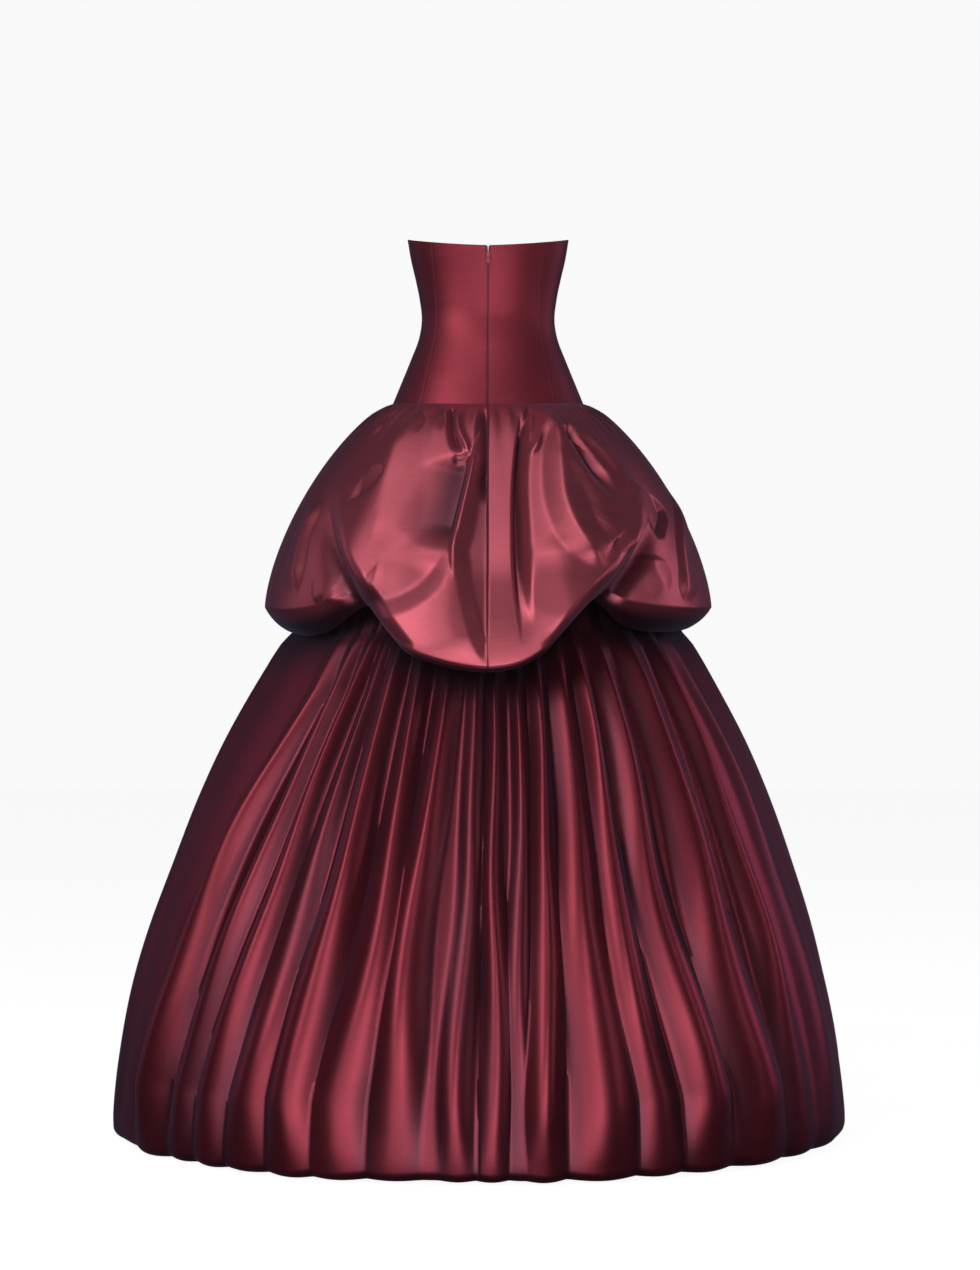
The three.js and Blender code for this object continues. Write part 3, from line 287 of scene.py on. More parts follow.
# Its crease's dip lies this far outside the crease and is this wide, as shares of the softness.
DIP_OUTSIDE, DIP_WIDTH = 0.35, 0.75
# Degrees from a crease in to its lobe's shoulder, and from the right shoulder to the big fold's guide.
LOBE_SHOULDER, FOLD_CLEAR = 6, 3
# The angles of the seams.
OVERSKIRT_SEAMS, SKIRT_SEAMS = (-90, 0, 90), (-90, 0, 90, 180)

# Overskirt folds as strokes, each on a path of (angle, z) points: the half widths of its crest to both
# sides, of which the first is on the side of lower angles where the path runs down, and its height out of
# the cloth, which is below zero for a valley.
OVERSKIRT_STROKES = Table("name path before after height", [
    ("balloon_sag", (
        (-32, -444), (-27, -453), (-21.8, -450), (-17, -434), (-13, -406), (-9.8, -372),
    ), 30, 56, -12),
    ("balloon_crown", ((-38, -161), (-33, -221), (-31, -275), (-28.5, -340), (-28, -400)), 55, 60, 10),
    ("left_valley", ((-6.8, -222), (-8.2, -271), (-9.3, -309), (-10, -345), (-9.8, -384)), 80, 7, -20),
    ("left_ridge", (
        (-1.6, -170), (-4.4, -230), (-6.5, -287), (-7.7, -336), (-8.4, -375), (-7.4, -430),
    ), 7, 24, 14),
    ("belly_ridge", ((-8.4, -340), (-7.6, -414), (-6, -463), (-3.7, -515), (-0.5, -560)), 110, 20, 12),
    ("strip_gap", ((-0.45, -137), (-0.45, -200), (-0.45, -262), (-0.45, -310)), 24, 2.6, -15),
    ("strip_valley", (
        (-0.45, -220), (-0.45, -323), (-0.45, -414), (-0.45, -494), (-0.45, -560),
    ), 44, 2.6, -9),
    ("strip_right_valley", (
        (14, -150), (11.2, -200), (9.4, -245), (8.3, -290),
        (7.5, -332), (6.9, -387), (6.8, -450), (7.4, -530),
    ), 7, 20, -17),
    ("thin_ridge", (
        (18, -150), (14.2, -200), (12.2, -245), (11.2, -290),
        (10.6, -332), (9.9, -387), (9.9, -450), (11, -540),
    ), 14, 66, 13),
    ("corner_pleat", ((30.8, -139), (21.5, -173), (17, -203), (13.1, -230)), 10, 12, 9),
    ("corner_gap", ((20.3, -140), (15.2, -173), (12, -203)), 12, 9, -9),
    ("big_fold", (
        (35.7, -140), (26.2, -172), (23.1, -218), (21.2, -271),
        (20.7, -313), (22, -354), (24.3, -386), (27.2, -402),
    ), 30, 70, 24),
    ("scoop", ((27.4, -180), (31.8, -208), (35.4, -245), (38, -290)), 22, 24, -18),
    ("scoop_upper", ((29, -165), (37.8, -184), (44, -214), (46, -252), (45, -290)), 16, 44, 7),
    ("scoop_lower", ((25, -222), (29.7, -257), (33, -290), (38, -303), (44, -288), (52, -264)), 30, 14, 8),
    ("red_facet", ((54, -262), (47, -315), (38, -355), (32, -390)), 80, 9, 21),
    ("purple_dent", ((27, -252), (27, -294), (27, -336), (27.5, -372)), 30, 36, -8),
    ("right_belly", ((15.5, -350), (16.5, -410), (17, -470), (14, -520)), 40, 90, 8),
    ("pocket_gap", ((-18.3, -139), (-14.5, -173), (-12, -203), (-8.5, -226)), 14, 8, -14),
    ("pocket_pleat", ((-13.6, -140), (-11.4, -178), (-8.2, -207), (-5.9, -225)), 5, 12, 8),
    ("pocket_smile", ((-12.4, -238), (-8, -235), (-4, -220)), 6, 12, -5),
    ("seam_pleat_1", ((-46.2, -137), (-30.6, -162), (-27.2, -190)), 16, 8, -7),
    ("seam_pleat_2", ((-31.6, -137), (-21.6, -157), (-17.3, -186)), 14, 8, -7),
    ("seam_pleat_3", ((-65.6, -139), (-52.3, -169), (-49.8, -202)), 18, 10, -6),
    ("dent", ((-34.1, -242), (-36.5, -280), (-43.2, -300)), 34, 10, -11),
    ("left_side_fold", ((-58.9, -290), (-60.4, -337), (-58.6, -391), (-56.4, -452)), 50, 20, 12),
    ("left_zigzag", ((-49.4, -456), (-44.9, -443), (-41.8, -453), (-37, -446)), 12, 36, 6),
    ("right_side_dent", ((64, -304), (58, -330), (52, -356)), 34, 14, -11),
    ("right_side_fold", ((86.2, -270), (66, -353), (60, -419), (58.2, -462)), 16, 44, 10),
    ("right_side_soft", ((47, -380), (47.5, -411), (52, -447)), 36, 36, 6),
    ("front_1", ((104, -150), (104, -260), (103, -380), (103, -470)), 32, 32, 6),
    ("front_2", ((122, -150), (120, -260), (120, -380), (120, -460)), 22, 32, 8),
    ("front_3", ((141, -150), (146, -260), (152, -380), (156, -470)), 32, 26, 10),
    ("front_4", ((156, -150), (158, -260), (163, -380), (166, -470)), 29, 19, 8),
    ("front_5", ((171, -150), (172, -260), (174, -380), (175, -480)), 24, 19, 9),
    ("front_6", ((189, -150), (187, -260), (186, -380), (185, -480)), 19, 24, 9),
    ("front_7", ((205, -150), (202, -260), (197, -380), (194, -470)), 22, 29, 9),
    ("front_8", ((220, -150), (214, -260), (208, -380), (204, -470)), 19, 29, 9),
    ("front_9", ((238, -150), (240, -260), (240, -380), (240, -460)), 32, 22, 8),
    ("front_10", ((256, -150), (256, -260), (257, -380), (257, -470)), 32, 32, 6),
])
# A stroke's path is smoothed to this many points a span, and its angles are laid out on this radius.
STROKE_SAMPLES, STROKE_RADIUS = 6, 330
# It is worked out as far as this many half widths, and its two sides meet this softly.
STROKE_REACH, STROKE_MEETING = 1.5, 0.05
# The shares of its length over which it comes in and goes out, and its narrowest share of its width.
STROKE_START, STROKE_END, STROKE_NARROW = 0.2, 0.3, 0.45
# How round a pleat's crest and its feet are.
PLEAT_CREST, PLEAT_FOOT = 0.12, 0.12

# Zip coils, from the slider up to the top: heights, pitch and steps a turn.
COIL_FOOT, COIL_TOP, COIL_PITCH, COIL_STEPS = 102.5, 112.5, 1.25, 16
# How far the helix's middle is set back from the cloth's edge and in from its face, and the helix's radius.
COIL_SETBACK, COIL_DEPTH, COIL_RADIUS = 0.2, 1.6, 0.75
# Its thread's radius and sides.
COIL_THREAD, COIL_SIDES = 0.28, 8

# The taffeta's slubs and ribs: repeats to the metre along and across the weft, and their noise's detail.
SLUB_STRETCH, SLUB_DETAIL = (26, 420, 1), 3
RIB_STRETCH, RIB_DETAIL = (90, 1100, 1), 1
# How much the slubs lighten it, and the scale of its soft clouds, how much they lighten it and where from.
SLUB_SHARE = 0.5
CLOUD_SCALE, CLOUD_SHARE, CLOUD_BASE = 7, 0.6, 0.2
# The ribs' bump: its strength, and its depth in metres. The sheen's width.
RIB_STRENGTH, RIB_DEPTH, SHEEN_ROUGHNESS = 0.25, 0.0003, 0.4

# Plain finishes: colour, roughness, metallic and grain, and how dark the grain is.
FINISHES = {
    "zip_tape": ((0.05, 0.012, 0.018), 0.8, 0.0, 900),
    "zip_enamel": ((0.32, 0.08, 0.11), 0.28, 0.6, 300),
    "zip_nylon": ((0.09, 0.02, 0.03), 0.35, 0.0, 600),
    "floor_paint": ((0.3, 0.3, 0.3), 0.9, 0.0, 3),
}
GRAIN_SHADE = 0.7

# The courses that follow the outside's: round the edge, and up inside.
OVERSKIRT_TUCK = np.concatenate([1 + np.linspace(0.06, 1, 18), 2 + np.linspace(0.1, 1, 8)])
SKIRT_TUCK = np.concatenate([1 + np.linspace(0.08, 1, 14), 2 + np.linspace(0.2, 1, 5)])
# The power that spreads the overskirt's outside courses, and how much wider its front's columns are spaced.
OVERSKIRT_SPREAD, FRONT_SPACING = 0.9, 2.2

# The steps in degrees and in courses over which a surface's slopes are measured.
SLOPE_ANGLE, SLOPE_COURSE = 0.08, 0.003
# The sharpest angle that is still shaded smooth.
SHARP_ANGLE = 60

# Soft lights: degrees round from the camera, metres up and away, width and length in metres, and watts.
LIGHTS = Table("name azimuth up away width tall watts", [
    ("key", -38, 1.4, 4.2, 1.0, 3.4, 68),
    ("top", -18, 3.4, 1.6, 2.2, 1.8, 34),
    ("front", 6, -0.1, 4.9, 0.7, 2.6, 30),
    ("right", 66, 0.3, 4.2, 0.5, 2.4, 11),
    ("bounce", -6, -1.2, 2.6, 2.2, 1.1, 20),
    ("rim_left", -110, 0.4, 4.0, 1.0, 3.0, 10),
    ("rim_right", 110, 0.4, 4.0, 1.0, 3.0, 26),
])
# What the lights point at.
LIGHT_TARGET = Vector((0, 0, -0.5))
# The camera's place across, its sensor's longer side, and its focal length as a share of that.
CAMERA_ACROSS, SENSOR, FOCAL_SHARE = 0.003, 36, 3333.3 / 1270
# Half the side of the sheet of floor in metres, and its clearance under the hem in millimetres.
FLOOR_SIDE, FLOOR_CLEARANCE = 12.0, 1.5
# The room's brightness to the camera, and its colour as it lights the cloth.
ROOM_SHOWN, ROOM_TINT = 0.95, (0.82, 0.82, 1, 1)


def through(xs, ys, x):
    """A smooth curve through points: a cubic on each span, with end slopes from the neighbours' chords."""
    xs, ys = (xs, ys) if xs[0] < xs[-1] else (xs[::-1], ys[::-1])
    slopes = np.gradient(ys, xs)
    slopes[1:-1] = (ys[2:] - ys[:-2]) / (xs[2:] - xs[:-2])
    x = np.clip(x, xs[0], xs[-1])
    i = np.clip(np.searchsorted(xs, x, side="right") - 1, 0, len(xs) - 2)
    span = xs[i + 1] - xs[i]
    t = (x - xs[i]) / span
    start = (2 * t**3 - 3 * t**2 + 1) * ys[i] + (t**3 - 2 * t**2 + t) * span * slopes[i]
    return start + (3 * t**2 - 2 * t**3) * ys[i + 1] + (t**3 - t**2) * span * slopes[i + 1]


def blend(start, end, x):
    """A smooth step from 0 at start to 1 at end: 3t² - 2t³."""
    t = np.clip((x - start) / (end - start), 0, 1)
    return t * t * (3 - 2 * t)


def turn(a, b):
    """The difference of two angles, the short way round."""
    return (a - b + 180) % 360 - 180


def wrap(angle):
    """An angle brought into the range from -90 to 270, in which the tables are written."""
    return (angle + 90) % 360 - 90


def section_at(table, z):
    """The ring sizes of a table at a height."""
    names = ("halfWidth", "back", "front", "shift")
    return {name: through(table.z, getattr(table, name), z) for name in names if hasattr(table, name)}


def ring(section, angle, z, out, squareness=1.0):
    """A point of a ring: x = (half width + out) sin a, y = -(depth + out) cos a, each to the ring's power."""
    s, c = np.sin(np.radians(angle)), np.cos(np.radians(angle))
    across = np.sign(s) * np.abs(s) ** squareness
    along = np.sign(c) * np.abs(c) ** squareness
    depth = np.where(c > 0, section["back"], section["front"])
    x = section.get("shift", 0) + (section["halfWidth"] + out) * across
    return np.stack([x, -(depth + out) * along, z + 0 * x], axis=-1)


def squareness_at(z):
    """The bodice's rings are a little square, and the skirts' grow round below the hip."""
    return 1 - (1 - BODICE_SQUARENESS) * blend(ROUND_BELOW, HIP_SEAM, z)


def hip_seam(angle):
    """The hip seam's height: it drops by the square of the cosine towards the centre back."""
    return HIP_SEAM - HIP_DROP_BACK * np.maximum(0, np.cos(np.radians(angle))) ** 2


def bodice_top(angle):
    """The bodice's top edge dips towards the centre back and a little towards the centre front.

    The dip is 1 - (1 - cos a)^power at the back and cos² a at the front."""
    c = np.cos(np.radians(angle))
    back = TOP_AT_SIDES - TOP_DIP_BACK * (1 - np.maximum(1 - c, 0) ** TOP_POWER)
    return np.where(c > 0, back, TOP_AT_SIDES - TOP_DIP_FRONT * c * c)


def bodice_point(angle, z, out=0.0):
    """The bodice: square rings, with a soft bell-shaped fullness on each side of the front."""
    aside = (np.abs(turn(angle, 0)) - BUST_ANGLE) / BUST_SPREAD
    above = (z - BUST_Z) / BUST_HEIGHT
    bust = BUST_FULLNESS * np.exp(-(aside**2) - above**2)
    return ring(section_at(BODICE_SECTIONS, z), angle, z, out + bust, BODICE_SQUARENESS)


def zip_half_gap(z):
    """Half the gap between the centre back edges: closed below the slider, and a V above it."""
    neck = blend(NECK_FROM, NECK_TO, z)
    vee = blend(V_FROM, TOP_AT_SIDES - TOP_DIP_BACK, z)
    return -SEAM_LAP + (NECK_HALF_GAP + SEAM_LAP) * neck + V_SPREAD * vee


def pleat(away):
    """A crisp fold's section: a tent of height 1 and half width 1, with its crest and its feet rounded."""
    rise = 1 - np.sqrt(away * away + PLEAT_CREST**2)
    return (np.sqrt(rise * rise + PLEAT_FOOT**2) + rise) / 2


def arch(away, crest):
    """A skirt fold's section of height 1 and half width 1: a hyperbola with a round crest and soft feet."""
    rise = 1 - (np.sqrt(away * away + crest**2) - crest) / (np.sqrt(1 + crest**2) - crest)
    return (np.sqrt(rise * rise + FOLD_FOOT**2) + rise) / 2


def fold_angle(k, z):
    """The crest of one skirt fold: an angle through its three, with a slow wander to both sides."""
    folds = SKIRT_FOLDS
    levels = np.array([FOLD_HEM, FOLD_MID, FOLD_TOP], float)
    course = through(levels, np.array([folds.hem[k], folds.mid[k], folds.top[k]]), z)
    return course + FOLD_WANDER * np.sin(z / FOLD_WAVE + WANDER_SHIFT * k) * blend(FOLD_TOP, FOLD_MID, z)


def skirt_folds(angle, z, radius):
    """The skirt's gathers: a high power mean of all folds, so that they meet in sharp valleys."""
    folds = SKIRT_FOLDS
    levels = [FOLD_BAG, FOLD_HEM, FOLD_MID, FOLD_TOP, FOLD_PRESSED, FOLD_UNDER, FOLD_SEATED, FOLD_HIP]
    height_levels = np.array(levels, float)
    total = 0
    crest = FOLD_CREST_TOP + (FOLD_CREST_HEM - FOLD_CREST_TOP) * blend(FOLD_TOP, FOLD_ARCHED, z)
    for k in range(len(folds.name)):
        top, hem = folds.hTop[k], folds.hHem[k]
        pressed, under = top * PRESSED_SHARE, top * UNDER_SHARE
        heights = np.array([hem * FOLD_BAG_SHARE, hem, folds.hMid[k], top, pressed, under, 0, 0])
        swell = 1 + FOLD_SWELL * np.sin(z / SWELL_WAVE + SWELL_SHIFT * k)
        height = np.maximum(through(height_levels, heights, z), 0) * swell
        width = folds.wTop[k] + (folds.wHem[k] - folds.wTop[k]) * blend(FOLD_TOP, FOLD_HEM, z)
        away = np.radians(turn(angle, fold_angle(k, z))) * radius / width
        total = total + (height * arch(away, crest)) ** FOLD_MEETING
    return total ** (1 / FOLD_MEETING)


def skirt_surface(angle, course):
    """The skirt: 0 to 1 down the outside, to 2 in a half circle round the hem, and to 3 up inside."""
    start = hip_seam(angle) - HIP_DROP
    roll_top = SKIRT_HEM + SKIRT_ROLL
    at_hem = skirt_folds(angle, roll_top + 0 * angle, SKIRT_SECTIONS.back[-1])
    lift = HEM_LIFT * (1 - np.clip(at_hem / HEM_LIFT_FULL, 0, 1))
    down = np.clip(course, 0, 1)
    z = start + (roll_top + lift - start) * down
    section = section_at(SKIRT_SECTIONS, z)
    hip = section_at(BODICE_SECTIONS, start)
    seated = blend(start - HIP_SEATING, start, z)
    for size in ("halfWidth", "back", "front"):
        section[size] = section[size] + (hip[size] - HIP_INSIDE - section[size]) * seated
    roll = np.pi * np.clip(course - 1, 0, 1)
    rise = np.clip(course - 2, 0, 1)
    folds = skirt_folds(angle, z, section["back"])
    calm = 1 - HEM_CALM * (1 - np.cos(roll)) / 2 - RETURN_CALM * rise
    groove = SEAM_GROOVE * seam_bell(angle, section["back"], SKIRT_SEAMS)
    inward = SKIRT_ROLL * (1 - np.cos(roll)) + SKIRT_RETURN_LEAN * rise
    height = z - SKIRT_ROLL * np.sin(roll) + SKIRT_RETURN * rise
    return ring(section, angle, height, folds * calm - inward - groove, squareness_at(z))


def inside_lobe(lobe, angle, z):
    """Degrees inside a lobe's nearer crease, below zero outside it."""
    creases = lobe["creases"]
    left = through(creases.z, creases.left, z)
    right = through(creases.z, creases.right, z)
    return (right - left) / 2 - np.abs(turn(angle, (left + right) / 2))


def crease_dip(lobe, angle, z):
    """A bell curve across each crease of a lobe, which comes in downwards."""
    soft = lobe["soft"]
    across = (inside_lobe(lobe, angle, z) + soft * DIP_OUTSIDE) / (soft * DIP_WIDTH)
    return blend(LOBE_DIPS, LOBE_FULL, z) * np.exp(-(across**2))


def seam_bell(angle, radius, seams):
    """A narrow bell curve, 1 at the nearest of some seams' angles: exp(-(distance / width)²)."""
    away = np.min([np.abs(turn(angle, seam)) for seam in seams], axis=0)
    return np.exp(-((np.radians(away) * radius / SEAM_WIDTH) ** 2))


def lobe_out(angle, z):
    """The lobes: a smooth step up inside two creases, with a bell-shaped dip along each crease."""
    out = 0
    for lobe in LOBES:
        inside, soft = inside_lobe(lobe, angle, z), lobe["soft"]
        step = blend(soft * STEP_FROM, soft * STEP_TO, inside)
        out = out + lobe["reach"] * blend(LOBE_STARTS, LOBE_FULL, z) * step
        out = out - lobe["dip"] * crease_dip(lobe, angle, z)
    return out


def stroke_course(path):
    """A stroke's path as a smooth curve: its angle and its height both pass through the path's points."""
    points = np.array(path, float)
    at = np.arange(len(points), dtype=float)
    fine = np.linspace(0, len(points) - 1, (len(points) - 1) * STROKE_SAMPLES + 1)
    return np.stack([through(at, points[:, 0], fine), through(at, points[:, 1], fine)], axis=-1)


def stroke_height(angle, z, path, before, after, height):
    """One fold: a pleat along a path, with a half width to each side. It narrows and fades at both ends."""
    course = stroke_course(path)
    middle = course[:, 0].mean()
    scale = np.radians(1) * STROKE_RADIUS
    px = turn(course[:, 0], middle) * scale
    py = course[:, 1]
    reach = STROKE_REACH * max(before, after)
    x = turn(angle, middle) * scale
    near_it = (x > px.min() - reach) & (x < px.max() + reach)
    near_it &= (z > py.min() - reach) & (z < py.max() + reach)
    x, y = x[near_it], z[near_it]
    best = np.full(x.shape, np.inf)
    side = np.zeros(x.shape)
    along = np.zeros(x.shape)
    for k in range(len(px) - 1):
        dx, dy = px[k + 1] - px[k], py[k + 1] - py[k]
        t = np.clip(((x - px[k]) * dx + (y - py[k]) * dy) / (dx * dx + dy * dy), 0, 1)
        away = (x - px[k] - t * dx) ** 2 + (y - py[k] - t * dy) ** 2
        closer = away < best
        side[closer] = (dx * (y - py[k]) - dy * (x - px[k]))[closer]
        along[closer] = (k + t[closer]) / (len(px) - 1)
        best[closer] = away[closer]
    best = np.sqrt(best)
    ends = blend(0, STROKE_START, along) * (1 - blend(1 - STROKE_END, 1, along))
    even = side / np.maximum(best, 1)
    toward = blend(-1, 1, even / np.maximum(np.abs(even).max(initial=TINY) * STROKE_MEETING, TINY))
    width = (before + (after - before) * toward) * (STROKE_NARROW + (1 - STROKE_NARROW) * ends)
    out = np.zeros(angle.shape)
    out[near_it] = height * pleat(best / width) * ends
    return out


def overskirt_folds(angle, z):
    """All strokes of the overskirt added up."""
    strokes = OVERSKIRT_STROKES
    out = 0 * angle
    for k in range(len(strokes.name)):
        widths = strokes.before[k], strokes.after[k]
        out = out + stroke_height(angle, z, strokes.path[k], *widths, strokes.height[k])
    return out


def overskirt_surface(angle, course):
    """The overskirt: 0 to 1 down a balloon, to 2 under its edge and to 3 up inside.

    The balloon's reach is (1 - (1 - t)^fall)^(1 / roundness) at the share t of its height."""
    wrapped = wrap(angle)
    start = hip_seam(angle) + SEAM_LAP
    hem, edge, tuck = (through(OVERSKIRT_HEM.angle, getattr(OVERSKIRT_HEM, name), wrapped)
                       for name in ("hem", "edge", "tuck"))
    down = np.clip(course, 0, 1)
    under = np.clip(course - 1, 0, 1)
    rise = np.clip(course - 2, 0, 1)
    quarter = under * np.pi / 2
    z = start + (edge - start) * down + (hem - edge) * (under + EDGE_ROLL * (np.sin(quarter) - under))
    hip = section_at(BODICE_SECTIONS, start)
    grown = (1 - (1 - down) ** BALLOON_FALL) ** (1 / BALLOON_ROUNDNESS)
    section = {
        "halfWidth": hip["halfWidth"] + (OVERSKIRT_HALF_WIDTH - hip["halfWidth"]) * grown,
        "back": hip["back"] + (OVERSKIRT_BACK - hip["back"]) * grown,
        "front": hip["front"] + (OVERSKIRT_FRONT - hip["front"]) * grown,
    }
    calm = 1 - EDGE_CALM * under
    seam_fade = blend(start - 1, start - SEAM_FADE, z)
    folds = lobe_out(angle, z) * grown + overskirt_folds(angle, z) * calm * seam_fade
    round_it = np.radians(angle)
    gathers = np.sin(round_it * GATHERS + GATHER_WANDER * np.sin(round_it * GATHER_WAVES))
    folds = folds + GATHER_HEIGHT * gathers * np.exp(-(start - z) / GATHER_FALL) * seam_fade
    folds = folds - SEAM_GROOVE * seam_bell(angle, section["back"], OVERSKIRT_SEAMS)
    inward = tuck * (under + EDGE_ROLL * (1 - np.cos(quarter) - under)) + OVERSKIRT_LEAN * rise
    return ring(section, angle, z + OVERSKIRT_RETURN * rise, folds - inward, squareness_at(z))


def overskirt_seam_and_shade(angle, z, course):
    """The overskirt's painted shade, from 0 to 1, in its valleys and creases, under its edge and towards its
    sides, and its dark seams.
    """
    # Painted shade in the strokes' valleys, towards the sides, in the lobes' creases and under the edge; the
    # seams are dark.
    valley = CREASE_SHADE * blend(0, 1, -overskirt_folds(angle, z) / VALLEY_FULL)
    side = SIDE_SHADE * blend(*SIDE_ANGLES, np.abs(turn(angle, 0)))
    dips = CREASE_SHADE * np.maximum(*[crease_dip(lobe, angle, z) for lobe in LOBES])
    under = UNDER_SHADE * blend(*EDGE_DARKENS, course)
    seam = SEAM_DARK * seam_bell(angle, OVERSKIRT_BACK, OVERSKIRT_SEAMS)
    return np.max([valley, dips, under, side, seam], axis=0)


def skirt_seam_and_shade(angle, z, course):
    """The skirt's painted shade, from 0 to 1, between its folds and inside its hem, a painted shadow below
    the overskirt's edge, and its dark seams.
    """
    section = section_at(SKIRT_SECTIONS, z)
    usual = through(np.array([FOLD_BAG, FOLD_HEM, FOLD_MID, FOLD_TOP], float), FOLD_USUAL, z)
    fold = np.clip(skirt_folds(angle, z, section["back"]) / usual, 0, 1)
    # Painted shade between the folds.
    lowest = VALLEY_FLOOR + (1 - VALLEY_FLOOR) * blend(0, VALLEY_LOW, fold)
    between = VALLEY_SHADE * (1 - fold) ** VALLEY_POWER * lowest
    # Painted shadow of the overskirt, which fades below its edge.
    edge = through(OVERSKIRT_HEM.angle, OVERSKIRT_HEM.hem, wrap(angle))
    painted_shadow = np.exp(-((np.maximum(edge - z, 0) / COVERED_FADE) ** 2))
    seam = SEAM_DARK * seam_bell(angle, section["back"], SKIRT_SEAMS)
    return np.max([between, painted_shadow, seam, UNDER_SHADE * blend(1, 2, course)], axis=0)


def cloth_mesh(name, surface, angle, courses, wall, depth):
    """A thin closed shell: the surface on a grid, the same grid moved in along its normals, and four rims.

    The angle has a row for each column of the grid, with its value at each course. The depth goes in an
    attribute, which darkens the seams and paints shade in valleys, creases, under edges and towards the
    sides."""
    course = courses + 0 * angle
    outer = surface(angle, course)
    round_it = surface(angle + SLOPE_ANGLE, course) - surface(angle - SLOPE_ANGLE, course)
    low = np.maximum(course - SLOPE_COURSE, courses[0])
    high = np.minimum(course + SLOPE_COURSE, courses[-1])
    down_it = surface(angle, high) - surface(angle, low)
    normal = np.cross(down_it, round_it)
    normal /= np.linalg.norm(normal, axis=-1, keepdims=True)
    inner = outer - normal * wall
    columns, rows = angle.shape
    points = np.concatenate([outer.reshape(-1, 3), inner.reshape(-1, 3)]) * MM
    index = np.arange(columns * rows).reshape(columns, rows)
    back = index + columns * rows

    def quads(a, b, c, d):
        return np.stack([a, b, c, d], axis=-1).reshape(-1, 4)

    faces = np.concatenate([
        quads(index[:-1, :-1], index[:-1, 1:], index[1:, 1:], index[1:, :-1]),
        quads(back[:-1, :-1], back[1:, :-1], back[1:, 1:], back[:-1, 1:]),
        quads(index[:-1, 0], index[1:, 0], back[1:, 0], back[:-1, 0]),
        quads(index[:-1, -1], back[:-1, -1], back[1:, -1], index[1:, -1]),
        quads(index[0, :-1], back[0, :-1], back[0, 1:], index[0, 1:]),
        quads(index[-1, :-1], index[-1, 1:], back[-1, 1:], back[-1, :-1]),
    ])
    mesh = bpy.data.meshes.new(name)
    mesh.vertices.add(len(points))
    mesh.vertices.foreach_set("co", points.astype(np.float32).ravel())
    mesh.loops.add(faces.size)
    mesh.loops.foreach_set("vertex_index", faces.astype(np.int32).ravel())
    mesh.polygons.add(len(faces))
    mesh.polygons.foreach_set("loop_start", np.arange(0, faces.size, 4, dtype=np.int32))
    mesh.update(calc_edges=True)
    mesh.polygons.foreach_set("use_smooth", np.ones(len(faces), bool))
    across = np.linalg.norm(np.diff(outer, axis=0), axis=-1).cumsum(axis=0)
    across = np.concatenate([np.zeros((1, rows)), across]) * MM
    along = np.linalg.norm(np.diff(outer, axis=1), axis=-1).cumsum(axis=1)
    along = np.concatenate([np.zeros((columns, 1)), along], axis=1) * MM
    flat = np.stack([across.mean(axis=1, keepdims=True) + 0 * across, along], axis=-1).reshape(-1, 2)
    flat = np.concatenate([flat, flat])
    layer = mesh.uv_layers.new(name="cloth")
    layer.data.foreach_set("uv", flat[faces.ravel()].astype(np.float32).ravel())
    seam_and_painted_shade = depth(angle, outer[..., 2], course)
    mesh.attributes.new("seam_and_painted_shade", "FLOAT", "POINT").data.foreach_set("value", np.tile(seam_and_painted_shade.ravel(), 2))
    mesh.set_sharp_from_angle(angle=np.radians(SHARP_ANGLE))
    mesh.validate()
    return mesh


def columns_along(guides, courses, steps_in):
    """Grid columns that run along guide lines, with each space between two guides split by its steps."""
    lines = [guide(courses) for guide in guides]
    columns = []
    for count, (place, beside) in enumerate(zip(lines, lines[1:])):
        columns.extend(place + (beside - place) * step for step in steps_in(count, beside - place))
    return np.array([*columns, lines[-1]])


def even_steps(spacing):
    """Steps that split a space evenly, into two or more, none wider than the spacing."""
    def steps_in(count, space):
        parts = max(2, int(np.ceil(np.abs(space).max() / spacing)))
        return np.arange(parts) / parts
    return steps_in


def fold_steps(count, space):
    """Steps between guides that are a seam, then crests and valleys by turns: closest near the crests."""
    to_crest = 1 - np.array([*FOLD_SHARES[1:], 1])[::-1]
    return to_crest if count % 2 == 0 else np.array(FOLD_SHARES)


def seam_line(surface, angle, side):
    """The guide along a seam, which laps past the seam's angle at each course, and others beside it."""
    def line(moved):
        def guide(courses):
            place = surface(angle + 0 * courses, courses)
            return angle + side * np.degrees((moved - SEAM_LAP) / np.hypot(place[:, 0], place[:, 1]))
        return guide
    return [line(moved) for moved in SEAM_LINES]


def fold_line(angle_at, height_at):
    """The guide along a fold: the angle that it has at the height of each course, found in a few rounds."""
    def guide(courses):
        angle = angle_at(HIP_SEAM + 0 * courses)
        for _ in range(FOLD_ROUNDS):
            angle = angle_at(height_at(angle, courses))
        return angle
    return guide


def valley_line(before, after):
    """The guide along the skirt's lowest line between two crests, smoothed down its length."""
    def guide(courses):
        first, second = before(courses), after(courses)
        angle = first + (second - first) * VALLEY_SEARCH
        z = skirt_surface(angle, np.minimum(courses, 1) + 0 * angle)[..., 2]
        folds = skirt_folds(angle, z, section_at(SKIRT_SECTIONS, z)["back"])
        lowest = VALLEY_SEARCH[np.argmin(folds + VALLEY_PULL * (2 * VALLEY_SEARCH - 1) ** 2, axis=0), 0]
        count = 2 * VALLEY_SMOOTH + 1
        smooth = np.convolve(np.pad(lowest, VALLEY_SMOOTH, mode="edge"), np.ones(count) / count, mode="valid")
        return first + (second - first) * smooth
    return guide


def show(name, mesh, material, slot, *nodes):
    """Puts a mesh in the scene, riding on the gown, in place of its nodes if it has any."""
    piece = bpy.data.objects.new(name, mesh)
    bpy.context.scene.collection.objects.link(piece)
    mesh.materials.append(material)
    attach(piece, "gown")
    if nodes:
        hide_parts(*nodes)
    return piece


def cloth_area(mesh):
    """Half the area of a thin closed shell, in square metres."""
    areas = np.empty(len(mesh.polygons))
    mesh.polygons.foreach_get("area", areas)
    return float(areas.sum() / 2)


def cut_sheet(piece):
    """Works out a piece's cloth area, which nothing uses further."""
    area = cloth_area(piece.data)


